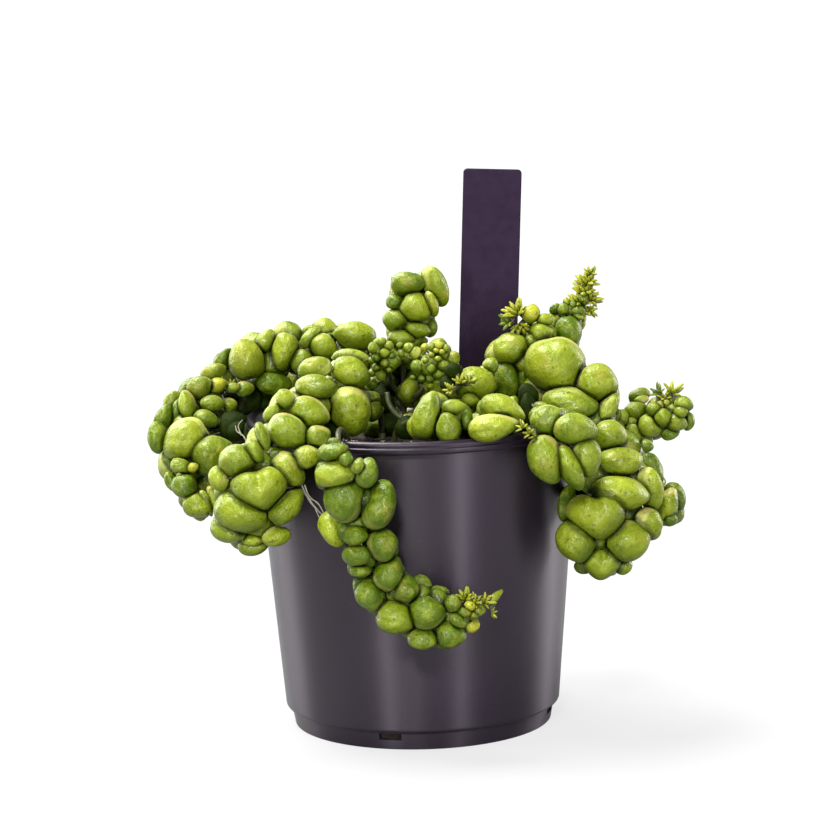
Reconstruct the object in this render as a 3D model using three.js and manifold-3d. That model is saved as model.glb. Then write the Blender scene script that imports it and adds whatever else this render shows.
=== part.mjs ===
// A trailing succulent in a nursery pot: ropes of domed, overlapping leaves that rise from the soil and
// hang over the rim, with a plain plant label behind them. Millimetres, +Z up, the front faces -Y.
import * as THREE from "three";
import { ConvexGeometry } from "three/addons/geometries/ConvexGeometry.js";
import { mergeVertices } from "three/addons/utils/BufferGeometryUtils.js";
import Module from "manifold-3d";

const wasm = await Module();
wasm.setup();

// Driving dimensions of the pot.
const POT_HEIGHT = 110.5;
const RIM_RADIUS = 60;
const RIM_HEIGHT = 4.4;
const WALL_TOP_RADIUS = 57;
const WALL_BOTTOM_RADIUS = 48.6;
const FOOT_RADIUS = 45.5;
const FOOT_HEIGHT = 7;
const WALL = 1.5;
const FLOOR = 2;
const POT_SEGMENTS = 36;
const DRAIN_SLOTS = 4;
const DRAIN_SLOT = { width: 8, height: 2.4, turn: THREE.MathUtils.degToRad(-14.5) };
const DRAIN_HOLES = 5;
const DRAIN_HOLE = { radius: 3.5, ring: 27 };

// Soil, label and the gap that neighbours keep.
const SOIL_TOP = 101;
const SOIL_ROUGHNESS = 1.2;
const ROOT_DEPTH = 14;
const GAP = 0.35;
const LABEL = { width: 20.6, thickness: 0.9, top: 194, bottom: 68, point: 16, corner: 1.5 };
const LABEL_FOOT = { x: 24.9, y: 16, z: 101 };
const LABEL_LEAN = THREE.MathUtils.degToRad(2.7);

// Stems.
const STEM_RADIUS = 1.3;
const STEM_STEP = 8;
const HOLE_CLEARANCE = 0.6;
const CURVE_STEPS = 8;
const BARE_START = 1;
const BRANCH_BARE_START = 3;

// Leaves: a dome, its length, height and crown given as shares of its width. Its width is FULLNESS times
// the size listed for its place on the strand, and each draw varies it by a jitter.
const LEAF_LENGTH = 0.94;
const LEAF_HEIGHT = 0.5;
const CROWN = 0.5;
const FULLNESS = 1.25;
const PITCH = 0.64;
const LEAST_PITCH = 4;
const SPREAD = 0.95;
const FACE = 0.25;
const TURN = 0.6;
const SIZE_JITTER = 0.16;
const TURN_JITTER = 0.22;
const SPREAD_JITTER = 0.12;
const PLUMP_JITTER = 0.15;
const SINK = 0.2;
const MARGIN = 0.5;
const FACES_POT = -0.6;

// Ways for a leaf to clear the pot, soil and label, tried in turn: [share of its spread, share of its width].
const WAYS_TO_FOLD = [[1, 1], [0.65, 1], [0.4, 0.9], [0.35, 0.7], [0.9, 0.55]];

// Each strand's path lists x, y, z and the size of the leaves there. It starts at its root in the soil,
// or, for a branch, at the point of its parent whose place in the list is given by "from". A strand may
// set its own turn, pitch and face: the angle of its first pair of leaves about the stem, the distance
// between pairs, and how far the domes turn outwards from the pot. It has four ranks of leaves, or two.
const STRANDS = [
  {
    name: "strand_arch_left",
    seed: 11,
    turn: 0.9,
    pitch: 0.56,
    path: [
      [-10, 16, 103, 7],
      [-12, 18, 116, 8],
      [-19, 22, 127, 9.5],
      [-29, 26, 131, 11],
      [-39, 28, 129, 11],
      [-51, 28, 126, 12],
      [-61, 24, 121, 14],
      [-70, 16, 116, 12],
      [-77, 6, 110, 13],
      [-79, -4, 103, 16],
      [-78, -12, 95, 15],
      [-77, -18, 88, 12],
      [-75, -22, 82, 9],
    ],
  },
  {
    name: "strand_rope_left",
    seed: 12,
    turn: 1.15,
    pitch: 0.5,
    face: 0.35,
    path: [
      [-12, -4, 103, 8],
      [-13, -5, 114, 10],
      [-19, -9, 121, 13],
      [-28, -20, 121, 14.5],
      [-38, -32, 117, 14.5],
      [-48, -42, 110, 14],
      [-53, -46, 102, 15],
      [-55, -46, 93, 18],
      [-56, -45, 84, 18],
      [-57, -44, 77, 14],
      [-57, -44, 71, 9],
    ],
  },
  {
    name: "strand_hook_front",
    seed: 13,
    ranks: 2,
    turn: 1.4,
    face: 0.6,
    path: [
      [-22, -36, 103, 5],
      [-24, -44, 111, 5],
      [-26, -55, 114.5, 5.5],
      [-26, -64, 111, 8],
      [-24, -67, 105, 11],
      [-21, -67, 98, 13],
      [-19, -65, 90, 12.5],
      [-17, -63, 81, 10],
      [-16, -62, 73, 9.5],
      [-14, -61, 65, 9.5],
      [-10, -61, 57, 10],
      [-4, -61, 52, 11],
      [4, -62, 51, 10],
      [11, -62, 53, 8.5],
      [17, -63, 57, 6],
      [23, -63, 58, 3],
    ],
  },
  {
    name: "strand_upright",
    seed: 14,
    path: [
      [-4, 6, 103, 7],
      [-4, 5, 114, 8],
      [-4, 4, 125, 8.5],
      [-4, 4, 132, 9.5],
      [-2, 4, 139, 9.5],
      [-1, 4, 145, 9.5],
      [1, 4, 150, 10.5],
      [3, 4, 155, 8],
    ],
    branches: [
      {
        from: 1,
        path: [
          [-8, -1, 121, 5],
          [-9, -5, 127, 6.5],
          [-12, -8, 134, 5.5],
        ],
      },
      {
        from: 1,
        path: [
          [0, -5, 117, 5],
          [4, -12, 122, 7],
          [7, -16, 129, 8],
          [10, -18, 135, 5],
        ],
      },
    ],
  },
  {
    name: "strand_low_centre",
    seed: 15,
    path: [
      [-8, -24, 103, 7],
      [-6, -28, 110, 9],
      [0, -36, 114, 12],
      [8, -42, 115, 11.5],
      [16, -44, 115, 11],
      [24, -42, 115, 15],
      [32, -38, 114, 12],
    ],
  },
  {
    name: "strand_tuft_centre",
    seed: 16,
    path: [
      [20, -20, 103, 6],
      [20, -23, 111, 8],
      [20, -26, 118, 7],
      [17, -31, 124, 5],
      [15, -34, 129, 3],
    ],
  },
  {
    name: "strand_rope_right",
    seed: 17,
    turn: 1.15,
    face: 0.35,
    path: [
      [22, 2, 103, 7],
      [23, 2, 113, 9],
      [29, 2, 121, 11],
      [37, 1, 126, 13],
      [48, -2, 126, 18],
      [58, -8, 120, 16],
      [62, -15, 112, 13],
      [64, -21, 103, 14],
      [65, -25, 95, 15],
      [65, -28, 86, 17],
      [63, -31, 78, 18],
      [62, -33, 71, 15],
      [62, -34, 64, 9],
    ],
    branches: [
      {
        from: 6,
        path: [
          [68, -5, 106, 5.5],
          [77, 0, 103, 7],
          [85, -2, 106, 7],
          [94, -4, 109, 5.5],
        ],
      },
      {
        from: 8,
        path: [
          [77, -20, 89, 9.5],
          [86, -20, 83, 9.5],
          [93, -20, 81, 7],
        ],
      },
      {
        from: 4,
        path: [
          [49, 6, 132, 9],
          [54, 10, 138, 10.5],
          [56, 10, 144, 8],
          [59, 10, 150, 5],
          [63, 10, 158, 2],
        ],
      },
      {
        from: 3,
        path: [
          [42, 1, 133, 9],
          [42, 0, 139, 8],
          [38, -1, 144, 5],
          [35, -1, 147, 3],
        ],
      },
    ],
  },
  {
    name: "strand_rope_inner_right",
    seed: 18,
    path: [
      [32, -22, 103, 7],
      [34, -26, 112, 9],
      [38, -31, 118, 10.5],
      [44, -40, 115, 12],
      [48, -48, 108, 13],
      [50, -50, 100, 11.5],
      [51, -50, 94, 7],
    ],
    branches: [
      {
        from: 3,
        path: [
          [43, -51, 114, 3],
          [39, -56, 114, 3],
          [35, -58, 116, 2],
        ],
      },
    ],
  },
  {
    name: "strand_back_left",
    seed: 19,
    path: [
      [-18, 26, 103, 7],
      [-20, 32, 113, 10],
      [-26, 46, 119, 12],
      [-33, 60, 115, 13],
      [-38, 66, 103, 14],
      [-39, 64, 88, 14],
      [-37, 61, 72, 12],
      [-34, 59, 60, 8],
    ],
  },
  {
    name: "strand_back_right",
    seed: 21,
    path: [
      [16, 30, 103, 7],
      [20, 34, 113, 9],
      [32, 44, 119, 12],
      [44, 54, 114, 13],
      [50, 57, 102, 15],
      [50, 56, 87, 14],
      [47, 55, 73, 11],
      [45, 54, 62, 7],
    ],
  },
];

// A seeded draw between 0 and 1.
function seededDraw(seed) {
  let state = seed;
  return () => {
    state = (state + 0x6d2b79f5) | 0;
    let t = Math.imul(state ^ (state >>> 15), 1 | state);
    t = (t + Math.imul(t ^ (t >>> 7), 61 | t)) ^ t;
    return ((t ^ (t >>> 14)) >>> 0) / 4294967296;
  };
}

// Geometry to solid and back.
function toSolid(geometry) {
  const bare = new THREE.BufferGeometry();
  bare.setAttribute("position", geometry.getAttribute("position"));
  bare.setIndex(geometry.index);
  const merged = mergeVertices(bare, 1e-4);
  return new wasm.Manifold(
    new wasm.Mesh({
      numProp: 3,
      vertProperties: merged.attributes.position.array,
      triVerts: new Uint32Array(merged.index.array),
    }),
  );
}

function toGeometry(solid) {
  const { vertProperties, triVerts } = solid.getMesh();
  const geometry = new THREE.BufferGeometry();
  geometry.setAttribute("position", new THREE.BufferAttribute(vertProperties, 3));
  geometry.setIndex(new THREE.BufferAttribute(triVerts, 1));
  geometry.computeVertexNormals();
  return geometry;
}

function turned(profile, segments) {
  const points = profile.map(([r, z]) => new THREE.Vector2(r, z));
  return toSolid(new THREE.LatheGeometry(points, segments).rotateX(Math.PI / 2));
}

// A cylinder about Z, with its middle at the origin.
function upright(radius, height, sides) {
  return new THREE.CylinderGeometry(radius, radius, height, sides).rotateX(Math.PI / 2);
}

// The pot: tapered wall on an inset foot, with a rolled rim, drain slots and drain holes.
function wallRadius(z) {
  const rise = (z - FOOT_HEIGHT) / (POT_HEIGHT - RIM_HEIGHT - FOOT_HEIGHT);
  return THREE.MathUtils.lerp(WALL_BOTTOM_RADIUS, WALL_TOP_RADIUS, rise);
}

function potOutline(grow) {
  const rimFoot = POT_HEIGHT - RIM_HEIGHT;
  const outer = [
    [FOOT_RADIUS + grow, -grow],
    [FOOT_RADIUS + 1.1 + grow, FOOT_HEIGHT - 0.6],
    [WALL_BOTTOM_RADIUS - 0.5 + grow, FOOT_HEIGHT - grow],
    [WALL_BOTTOM_RADIUS + grow, FOOT_HEIGHT + 0.6],
    [WALL_TOP_RADIUS + grow, rimFoot - grow],
    [RIM_RADIUS - 0.7 + grow, rimFoot - grow],
    [RIM_RADIUS + grow, rimFoot + 0.9],
    [RIM_RADIUS + grow, POT_HEIGHT - 1],
    [RIM_RADIUS - 0.8 + grow, POT_HEIGHT + grow],
    [WALL_TOP_RADIUS + 0.6 - grow, POT_HEIGHT + grow],
    [WALL_TOP_RADIUS - 0.6 - grow, POT_HEIGHT - 0.8],
  ];
  const inner = [
    [wallRadius(SOIL_TOP) - WALL - grow, SOIL_TOP],
    [wallRadius(FOOT_HEIGHT + 2) - WALL - grow, FOOT_HEIGHT + 2],
    [FOOT_RADIUS + 0.8 - WALL - grow, FOOT_HEIGHT],
    [FOOT_RADIUS + 0.2 - WALL - grow, FLOOR + grow],
  ];
  return [[0, -grow], ...outer, ...inner, [0, FLOOR + grow]];
}

function potSolid() {
  let pot = turned(potOutline(0), POT_SEGMENTS);
  for (let i = 0; i < DRAIN_SLOTS; i++) {
    const slot = new THREE.BoxGeometry(20, DRAIN_SLOT.width, DRAIN_SLOT.height)
      .translate(FOOT_RADIUS, 0, FOOT_HEIGHT - 1.1 - DRAIN_SLOT.height / 2)
      .rotateZ(DRAIN_SLOT.turn + (i / DRAIN_SLOTS) * 2 * Math.PI);
    pot = pot.subtract(toSolid(slot));
  }
  for (let i = 0; i < DRAIN_HOLES; i++) {
    const hole = upright(DRAIN_HOLE.radius, 3 * FLOOR, 10)
      .translate(DRAIN_HOLE.ring, 0, FLOOR / 2)
      .rotateZ((i / DRAIN_HOLES) * 2 * Math.PI);
    pot = pot.subtract(toSolid(hole));
  }
  return pot;
}

// The soil fills the pot, and its top is rough by a formula.
function soilHeight(x, y) {
  const coarse = Math.sin(0.31 * x + 1.3) * Math.cos(0.27 * y - 0.6);
  const fine = Math.sin(0.83 * x - 0.4 * y) * Math.cos(0.71 * y + 0.5 * x);
  return SOIL_TOP + SOIL_ROUGHNESS * (0.7 * coarse + 0.6 * fine);
}

function soilSolid(roots) {
  const top = wallRadius(SOIL_TOP) - WALL - GAP;
  const rings = 4;
  const profile = [[0, FLOOR + GAP], [FOOT_RADIUS + 0.2 - WALL - GAP, FLOOR + GAP]];
  profile.push([FOOT_RADIUS + 0.8 - WALL - GAP, FOOT_HEIGHT]);
  profile.push([wallRadius(FOOT_HEIGHT + 2) - WALL - GAP, FOOT_HEIGHT + 2]);
  profile.push([top - 0.4, SOIL_TOP - 4]);
  for (let i = 0; i <= rings; i++) profile.push([(top - 0.4) * (1 - i / rings), SOIL_TOP]);
  const points = profile.map(([r, z]) => new THREE.Vector2(r, z));
  const geometry = new THREE.LatheGeometry(points, 20).rotateX(Math.PI / 2);
  const position = geometry.getAttribute("position");
  for (let i = 0; i < position.count; i++) {
    if (position.getZ(i) < SOIL_TOP - 1) continue;
    position.setZ(i, soilHeight(position.getX(i), position.getY(i)));
  }
  let soil = toSolid(geometry);
  for (const [x, y] of roots) {
    const hole = upright(STEM_RADIUS + HOLE_CLEARANCE, 2 * ROOT_DEPTH, 6);
    soil = soil.subtract(toSolid(hole.translate(x, y, SOIL_TOP - 1)));
  }
  return soil.subtract(labelSolid(GAP));
}

// The label: a rounded plate, pointed at its foot, that leans a little to the right.
function labelSolid(grow) {
  const half = LABEL.width / 2 + grow;
  const top = LABEL.top - LABEL_FOOT.z + grow;
  const bottom = LABEL.bottom - LABEL_FOOT.z - grow;
  const shape = new THREE.Shape();
  shape.moveTo(0, bottom);
  shape.lineTo(half, bottom + LABEL.point);
  shape.lineTo(half, top - LABEL.corner);
  shape.absarc(half - LABEL.corner, top - LABEL.corner, LABEL.corner, 0, Math.PI / 2);
  shape.absarc(LABEL.corner - half, top - LABEL.corner, LABEL.corner, Math.PI / 2, Math.PI);
  shape.lineTo(-half, bottom + LABEL.point);
  const depth = LABEL.thickness + 2 * grow;
  const plate = new THREE.ExtrudeGeometry(shape, { depth, bevelEnabled: false, curveSegments: 5 })
    .translate(0, 0, -depth / 2)
    .rotateZ(-LABEL_LEAN)
    .rotateX(Math.PI / 2)
    .translate(LABEL_FOOT.x, LABEL_FOOT.y, LABEL_FOOT.z);
  return toSolid(plate);
}

// Whether a point lies in the pot, the soil or the label, or closer to them than a margin.
function isTaken(p) {
  if (p.z < MARGIN) return true;
  const labelX = LABEL_FOOT.x + (p.z - LABEL_FOOT.z) * Math.tan(LABEL_LEAN);
  const overLabel = Math.abs(p.x - labelX) < LABEL.width / 2 + MARGIN && p.z < LABEL.top;
  if (overLabel && Math.abs(p.y - LABEL_FOOT.y) < LABEL.thickness / 2 + MARGIN) return true;
  if (p.z > POT_HEIGHT + MARGIN) return false;
  const r = Math.hypot(p.x, p.y);
  const besideRim = p.z > POT_HEIGHT - RIM_HEIGHT - MARGIN;
  if (r > (besideRim ? RIM_RADIUS : wallRadius(p.z)) + MARGIN) return false;
  return r > wallRadius(p.z) - WALL - MARGIN || p.z < SOIL_TOP + SOIL_ROUGHNESS + MARGIN;
}

// Even samples along a smooth curve through a path, with the leaf size and a side direction at each.
function samplesAlong(path) {
  const points = path.map(([x, y, z]) => new THREE.Vector3(x, y, z));
  const curve = new THREE.CatmullRomCurve3(points, false, "catmullrom", 0.5);
  const count = (path.length - 1) * CURVE_STEPS;
  const samples = [];
  for (let i = 0; i <= count; i++) {
    const place = i / CURVE_STEPS;
    const before = Math.min(Math.floor(place), path.length - 2);
    const size = THREE.MathUtils.lerp(path[before][3], path[before + 1][3], place - before);
    samples.push({ at: 0, point: curve.getPoint(i / count), size });
  }
  let side = new THREE.Vector3(0, -1, 0.3);
  samples.forEach((sample, i) => {
    const before = samples[Math.max(i - 1, 0)];
    const after = samples[Math.min(i + 1, count)];
    sample.at = i ? before.at + sample.point.distanceTo(before.point) : 0;
    sample.along = after.point.clone().sub(before.point).normalize();
    side = side.clone().addScaledVector(sample.along, -side.dot(sample.along)).normalize();
    sample.side = side;
  });
  return samples;
}

function sampleAt(samples, at) {
  let i = 1;
  while (i < samples.length - 1 && samples[i].at < at) i++;
  const [before, after] = [samples[i - 1], samples[i]];
  const share = (at - before.at) / (after.at - before.at);
  return {
    point: before.point.clone().lerp(after.point, share),
    size: THREE.MathUtils.lerp(before.size, after.size, share),
    along: after.along,
    side: after.side,
  };
}

// The direction away from the stem at an angle about it.
function outFrom({ along, side }, turn) {
  const across = new THREE.Vector3().crossVectors(along, side);
  return side.clone().multiplyScalar(Math.cos(turn)).addScaledVector(across, Math.sin(turn));
}

// One leaf's frame: it leaves the stem by the angle of spread, with its dome to the outside.
function leafFrame(sample, turn, spread, face) {
  const { along, point } = sample;
  const out = outFrom(sample, turn);
  const length = along.clone().multiplyScalar(Math.cos(spread)).addScaledVector(out, Math.sin(spread));
  const outward = new THREE.Vector3(point.x, point.y, 0).normalize();
  outward.z = 0.35;
  const up = out.clone().multiplyScalar(Math.cos(spread)).addScaledVector(along, -Math.sin(spread));
  up.multiplyScalar(1 - face).addScaledVector(outward, face);
  up.addScaledVector(length, -up.dot(length)).normalize();
  const base = point.clone().addScaledVector(length, SINK);
  return { base, across: new THREE.Vector3().crossVectors(length, up), length, up };
}

function leafMatrix(leaf, grow) {
  const wide = leaf.width + 2 * grow;
  const long = leaf.width * LEAF_LENGTH + 2 * grow;
  const high = leaf.width * leaf.plump * LEAF_HEIGHT + 2 * grow;
  const [x, y, z] = [leaf.across, leaf.length, leaf.up].map((axis) => axis.clone());
  return new THREE.Matrix4()
    .makeBasis(x.multiplyScalar(wide), y.multiplyScalar(long), z.multiplyScalar(high))
    .setPosition(leaf.base.clone().addScaledVector(leaf.length, -grow).addScaledVector(leaf.up, -grow));
}

// The outline of a leaf of width 1 and length 1, from its base near the origin to its pointed tip.
function leafOutline(share) {
  const angle = share * 2 * Math.PI;
  const tip = 0.05 * Math.max(0, -Math.cos(angle)) ** 6;
  const bulge = 1 - 0.06 * Math.sin(angle) ** 2;
  return [0.5 * Math.sin(angle), 0.48 - 0.5 * Math.cos(angle) * bulge + tip];
}

// Tests a leaf by points on its outline, its shoulder and the top of its dome, but not at its base.
function leafIsClear(leaf) {
  const matrix = leafMatrix(leaf, 0);
  const points = [new THREE.Vector3(0, 0.5, 1)];
  for (let i = 1; i < 8; i++) {
    const [x, y] = leafOutline(i / 8);
    if (y < 0.3) continue;
    points.push(new THREE.Vector3(x, y, 0));
    points.push(new THREE.Vector3(0.7 * x, 0.5 + 0.7 * (y - 0.5), 0.75));
  }
  return !points.some((point) => isTaken(point.applyMatrix4(matrix)));
}

// Whether a leaf at this turn would be pressed between a hanging stem and the pot.
function facesPot(sample, turn) {
  const away = new THREE.Vector3(sample.point.x, sample.point.y, 0);
  if (away.length() < RIM_RADIUS || sample.point.z > POT_HEIGHT + 4) return false;
  return outFrom(sample, turn).dot(away.normalize()) < FACES_POT;
}

// Leaves in opposite pairs along a path, each pair a quarter turn on from the last one, or all in one
// plane on a stem of two ranks. They close towards the tip, and one that would meet the pot, soil or
// label folds in or stays small.
function leavesAlong(path, rule, draw) {
  const samples = samplesAlong(path);
  const length = samples[samples.length - 1].at;
  const leaves = [];
  const vary = (jitter) => jitter * (2 * draw() - 1);
  let at = rule.bare || BARE_START;
  let turn = rule.turn || TURN;
  while (at < length) {
    const sample = sampleAt(samples, at);
    const openness = 0.55 + 0.45 * Math.min(1, (length - at) / (1.5 * sample.size));
    for (const half of [0, Math.PI]) {
      const width = FULLNESS * sample.size * (1 + vary(SIZE_JITTER));
      const around = turn + half + vary(TURN_JITTER);
      const spread = openness * SPREAD + vary(SPREAD_JITTER);
      const plump = 1.05 + vary(PLUMP_JITTER);
      if (facesPot(sample, around)) continue;
      for (const [fold, shrink] of WAYS_TO_FOLD) {
        const leaf = leafFrame(sample, around, spread * fold, rule.face || FACE);
        leaf.width = width * shrink;
        leaf.plump = plump;
        if (!leafIsClear(leaf)) continue;
        leaves.push(leaf);
        break;
      }
    }
    at += Math.max(LEAST_PITCH, sample.size * (rule.pitch || PITCH));
    turn += rule.ranks === 2 ? 0 : Math.PI / 2;
  }
  return leaves;
}

// A leaf of width, length and height 1: a flat underside within its outline, and a dome with a crown.
function unitLeaf(sides, crown) {
  const points = [];
  for (let i = 0; i < sides; i++) points.push(new THREE.Vector3(...leafOutline(i / sides), 0));
  for (let i = 0; i < crown; i++) {
    const [x, y] = leafOutline((i + 0.5) / crown);
    points.push(new THREE.Vector3(CROWN * x, 0.5 + CROWN * (y - 0.5), 1));
  }
  return toSolid(new ConvexGeometry(points));
}

const SMALL_LEAF = unitLeaf(4, 2);
const MIDDLE_LEAF = unitLeaf(5, 3);
const LARGE_LEAF = unitLeaf(6, 4);

function leafSolid(leaf, grow) {
  const unit = leaf.width > 14 ? LARGE_LEAF : leaf.width > 9 ? MIDDLE_LEAF : SMALL_LEAF;
  return unit.transform(leafMatrix(leaf, grow).elements);
}

// A stem is a three-sided tube along its path.
function stemSolid(path, radius) {
  const points = path.map(([x, y, z]) => new THREE.Vector3(x, y, z));
  const curve = new THREE.CatmullRomCurve3(points, false, "catmullrom", 0.5);
  const section = new THREE.Shape();
  for (let i = 0; i < 3; i++) {
    const angle = (i / 3) * 2 * Math.PI;
    section[i ? "lineTo" : "moveTo"](radius * Math.cos(angle), radius * Math.sin(angle));
  }
  const steps = Math.round(curve.getLength() / STEM_STEP);
  return toSolid(new THREE.ExtrudeGeometry(section, { steps, extrudePath: curve, bevelEnabled: false }));
}

function rootSolid([x, y, z], radius) {
  const foot = SOIL_TOP - ROOT_DEPTH;
  return toSolid(upright(radius, z + 1 - foot, 4).translate(x, y, (z + 1 + foot) / 2));
}

// A strand as one solid, or, grown by the gap, as the room that its neighbours leave it.
function strandSolid(strand, grow) {
  const draw = seededDraw(strand.seed);
  const pieces = [rootSolid(strand.path[0], STEM_RADIUS + grow)];
  const stems = [{ path: strand.path, rule: strand }];
  for (const branch of strand.branches || []) {
    stems.push({ path: [strand.path[branch.from], ...branch.path], rule: { bare: BRANCH_BARE_START } });
  }
  for (const { path, rule } of stems) {
    pieces.push(stemSolid(path, STEM_RADIUS + grow));
    for (const leaf of leavesAlong(path, rule, draw)) pieces.push(leafSolid(leaf, grow));
  }
  return wasm.Manifold.union(pieces).simplify(grow ? 0.02 : 0.25);
}

function largestBody(solid) {
  return solid.decompose().sort((a, b) => b.volume() - a.volume())[0];
}

// Materials in the photograph's colours.
const POT_PLASTIC = new THREE.MeshStandardMaterial({ color: 0x38363e, roughness: 0.42, metalness: 0 });
const LABEL_PLASTIC = new THREE.MeshStandardMaterial({ color: 0x35293f, roughness: 0.5, metalness: 0 });
const SOIL = new THREE.MeshStandardMaterial({ color: 0x2c211a, roughness: 0.95, metalness: 0 });
const LEAF_GREEN = new THREE.MeshStandardMaterial({ color: 0x7c9330, roughness: 0.35, metalness: 0 });

function addMesh(group, name, solid, material) {
  const mesh = new THREE.Mesh(toGeometry(solid), material);
  mesh.name = name;
  group.add(mesh);
}

const plant = new THREE.Group();
const roots = STRANDS.map((strand) => strand.path[0]);
const soil = soilSolid(roots);
addMesh(plant, "pot", potSolid(), POT_PLASTIC);
addMesh(plant, "soil", soil, SOIL);
addMesh(plant, "label", labelSolid(0), LABEL_PLASTIC);

// Each strand is trimmed by the room that the pot, the label and the strands before it keep.
const potRoom = turned(potOutline(GAP), POT_SEGMENTS);
let room = wasm.Manifold.union([potRoom, labelSolid(GAP), soil, soil.translate([0, 0, GAP])]);
for (const strand of STRANDS) {
  const solid = largestBody(strandSolid(strand, 0).subtract(room));
  addMesh(plant, strand.name, solid.simplify(0.04), LEAF_GREEN);
  room = room.add(strandSolid(strand, GAP));
}

export default plant;
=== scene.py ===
"""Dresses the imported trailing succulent: domed leaves, stems, shoots, roots, pot, potting mix and label."""
import math

import bmesh
import bpy
import numpy as np
from mathutils import Matrix, Vector, noise


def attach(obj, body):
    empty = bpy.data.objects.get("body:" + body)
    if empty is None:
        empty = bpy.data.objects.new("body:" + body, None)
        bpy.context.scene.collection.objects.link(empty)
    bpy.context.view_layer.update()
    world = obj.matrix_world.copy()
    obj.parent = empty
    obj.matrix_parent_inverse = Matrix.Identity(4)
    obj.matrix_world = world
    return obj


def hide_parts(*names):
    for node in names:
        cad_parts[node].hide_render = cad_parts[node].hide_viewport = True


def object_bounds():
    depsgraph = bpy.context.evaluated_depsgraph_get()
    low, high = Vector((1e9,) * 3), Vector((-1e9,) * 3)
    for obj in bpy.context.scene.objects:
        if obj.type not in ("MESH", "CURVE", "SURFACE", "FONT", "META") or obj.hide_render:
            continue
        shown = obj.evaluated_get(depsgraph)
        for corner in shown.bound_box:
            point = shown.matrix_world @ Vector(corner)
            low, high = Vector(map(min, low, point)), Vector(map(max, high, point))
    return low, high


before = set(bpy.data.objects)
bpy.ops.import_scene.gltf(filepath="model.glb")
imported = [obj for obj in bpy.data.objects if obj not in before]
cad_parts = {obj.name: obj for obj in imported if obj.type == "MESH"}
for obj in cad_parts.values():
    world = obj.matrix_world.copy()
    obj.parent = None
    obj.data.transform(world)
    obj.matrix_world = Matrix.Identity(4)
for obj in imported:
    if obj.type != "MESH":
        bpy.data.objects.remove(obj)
cad_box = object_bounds()

# Lengths are in millimetres until a mesh is made, apart from the camera's and the lights', in metres.
MM = 0.001
ANY_TURN = 6.28
POT_HEIGHT = 110.5
RIM_RADIUS = 60
RIM_HEIGHT = 4.4
RIM_FOOT = POT_HEIGHT - RIM_HEIGHT
WALL_TOP_RADIUS = 57
WALL_BOTTOM_RADIUS = 48.6
FOOT_RADIUS = 45.5
FOOT_HEIGHT = 7
WALL = 1.5
FLOOR = 2
POT_SEGMENTS = 216
POT_ROUNDING = 0.5
DRAIN_SLOTS = 4
DRAIN_SLOT_WIDTH = 8
DRAIN_SLOT_HEIGHT = 2.4
DRAIN_SLOT_DEPTH = 20
DRAIN_SLOT_DROP = 1.1
DRAIN_SLOT_TURN = math.radians(-14.5)
DRAIN_HOLES = 5
DRAIN_HOLE_RADIUS = 3.5
DRAIN_HOLE_RING = 27
SOIL_TOP = 101
SOIL_ROUGHNESS = 1.2
SOIL_GAP = 0.4
SOIL_RINGS = 46
SOIL_SEGMENTS = 120
CRUMBS = 900
GRIT_SHARE = 0.12
LABEL_WIDTH = 20.6
LABEL_THICKNESS = 0.9
LABEL_TOP = 194
LABEL_BOTTOM = 68
LABEL_POINT = 16
LABEL_CORNER = 1.5
LABEL_EDGE = 0.22
LABEL_FOOT = np.array((24.9, 16.0, 101.0))
LABEL_LEAN = math.radians(2.7)

# The rule that places the leaves, as the frame's own solids have it.
CURVE_STEPS = 8
BARE_START = 1
BRANCH_BARE_START = 3
LEAF_LENGTH = 0.94
LEAF_HEIGHT = 0.5
FULLNESS = 1.25
PITCH = 0.64
LEAST_PITCH = 4
SPREAD = 0.95
FACE = 0.25
TURN = 0.6
SIZE_JITTER = 0.16
TURN_JITTER = 0.22
SPREAD_JITTER = 0.12
PLUMP_JITTER = 0.15
SINK = 0.2
MARGIN = 0.5
FACES_POT = -0.6
WAYS_TO_FOLD = ((1, 1), (0.65, 1), (0.4, 0.9), (0.35, 0.7), (0.9, 0.55))
# What is added here: small leaves between the pairs, and the leaves that show from the front.
BETWEEN_SIZE = 0.62
FRONT_GROWTH = 1.04
FRONT_ROOM = 3.5
FRONT_TRIES = 8
SHELL_HEIGHT = 0.6
BEHIND_DROP = 0.4
DEEP_LEVEL = -0.2
EDGE_ROOM = 0.9
BURIED = 0.5
WAYS_TO_SHRINK = (1, 0.8, 0.8, 0.75)
SMALL_LEAF = 8
TUFT_WIDTH = 0.40
TUFT_LEAN = math.radians(80)
TUFT_PROUD = 2.5
TUFT_ROOM = 5.5
GOLDEN_TURN = math.radians(137.5)
STEM_RADIUS = 1.0
STEM_TAPER = 0.65
STEM_SIDES = 10
STEM_DEPTH = 12
STALK_RADII = (0.5, 0.35)
# Each strand has a draw of its own, another for the leaves added here, and each leaf one for its shape.
ADDED_SEED = 700
SHAPE_SEED = 1000
ROOT_SEED = 4100
SOIL_SEED = 5
# Leaves that touch: how near the other's skin, 1, each effect starts, and how soon it is full. The
# effects are painted shade round where they touch, near-black painted shade along the line where they
# meet, and the press that draws both back.
SHADE_START, SHADE_RUN = 1.29, 0.18
CREASE_SHADE_START, CREASE_SHADE_RUN = 1.12, 0.05
PRESS_START, PRESS_RUN = 1.25, 0.6
PRESS_DEPTH = 0.17
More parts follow.
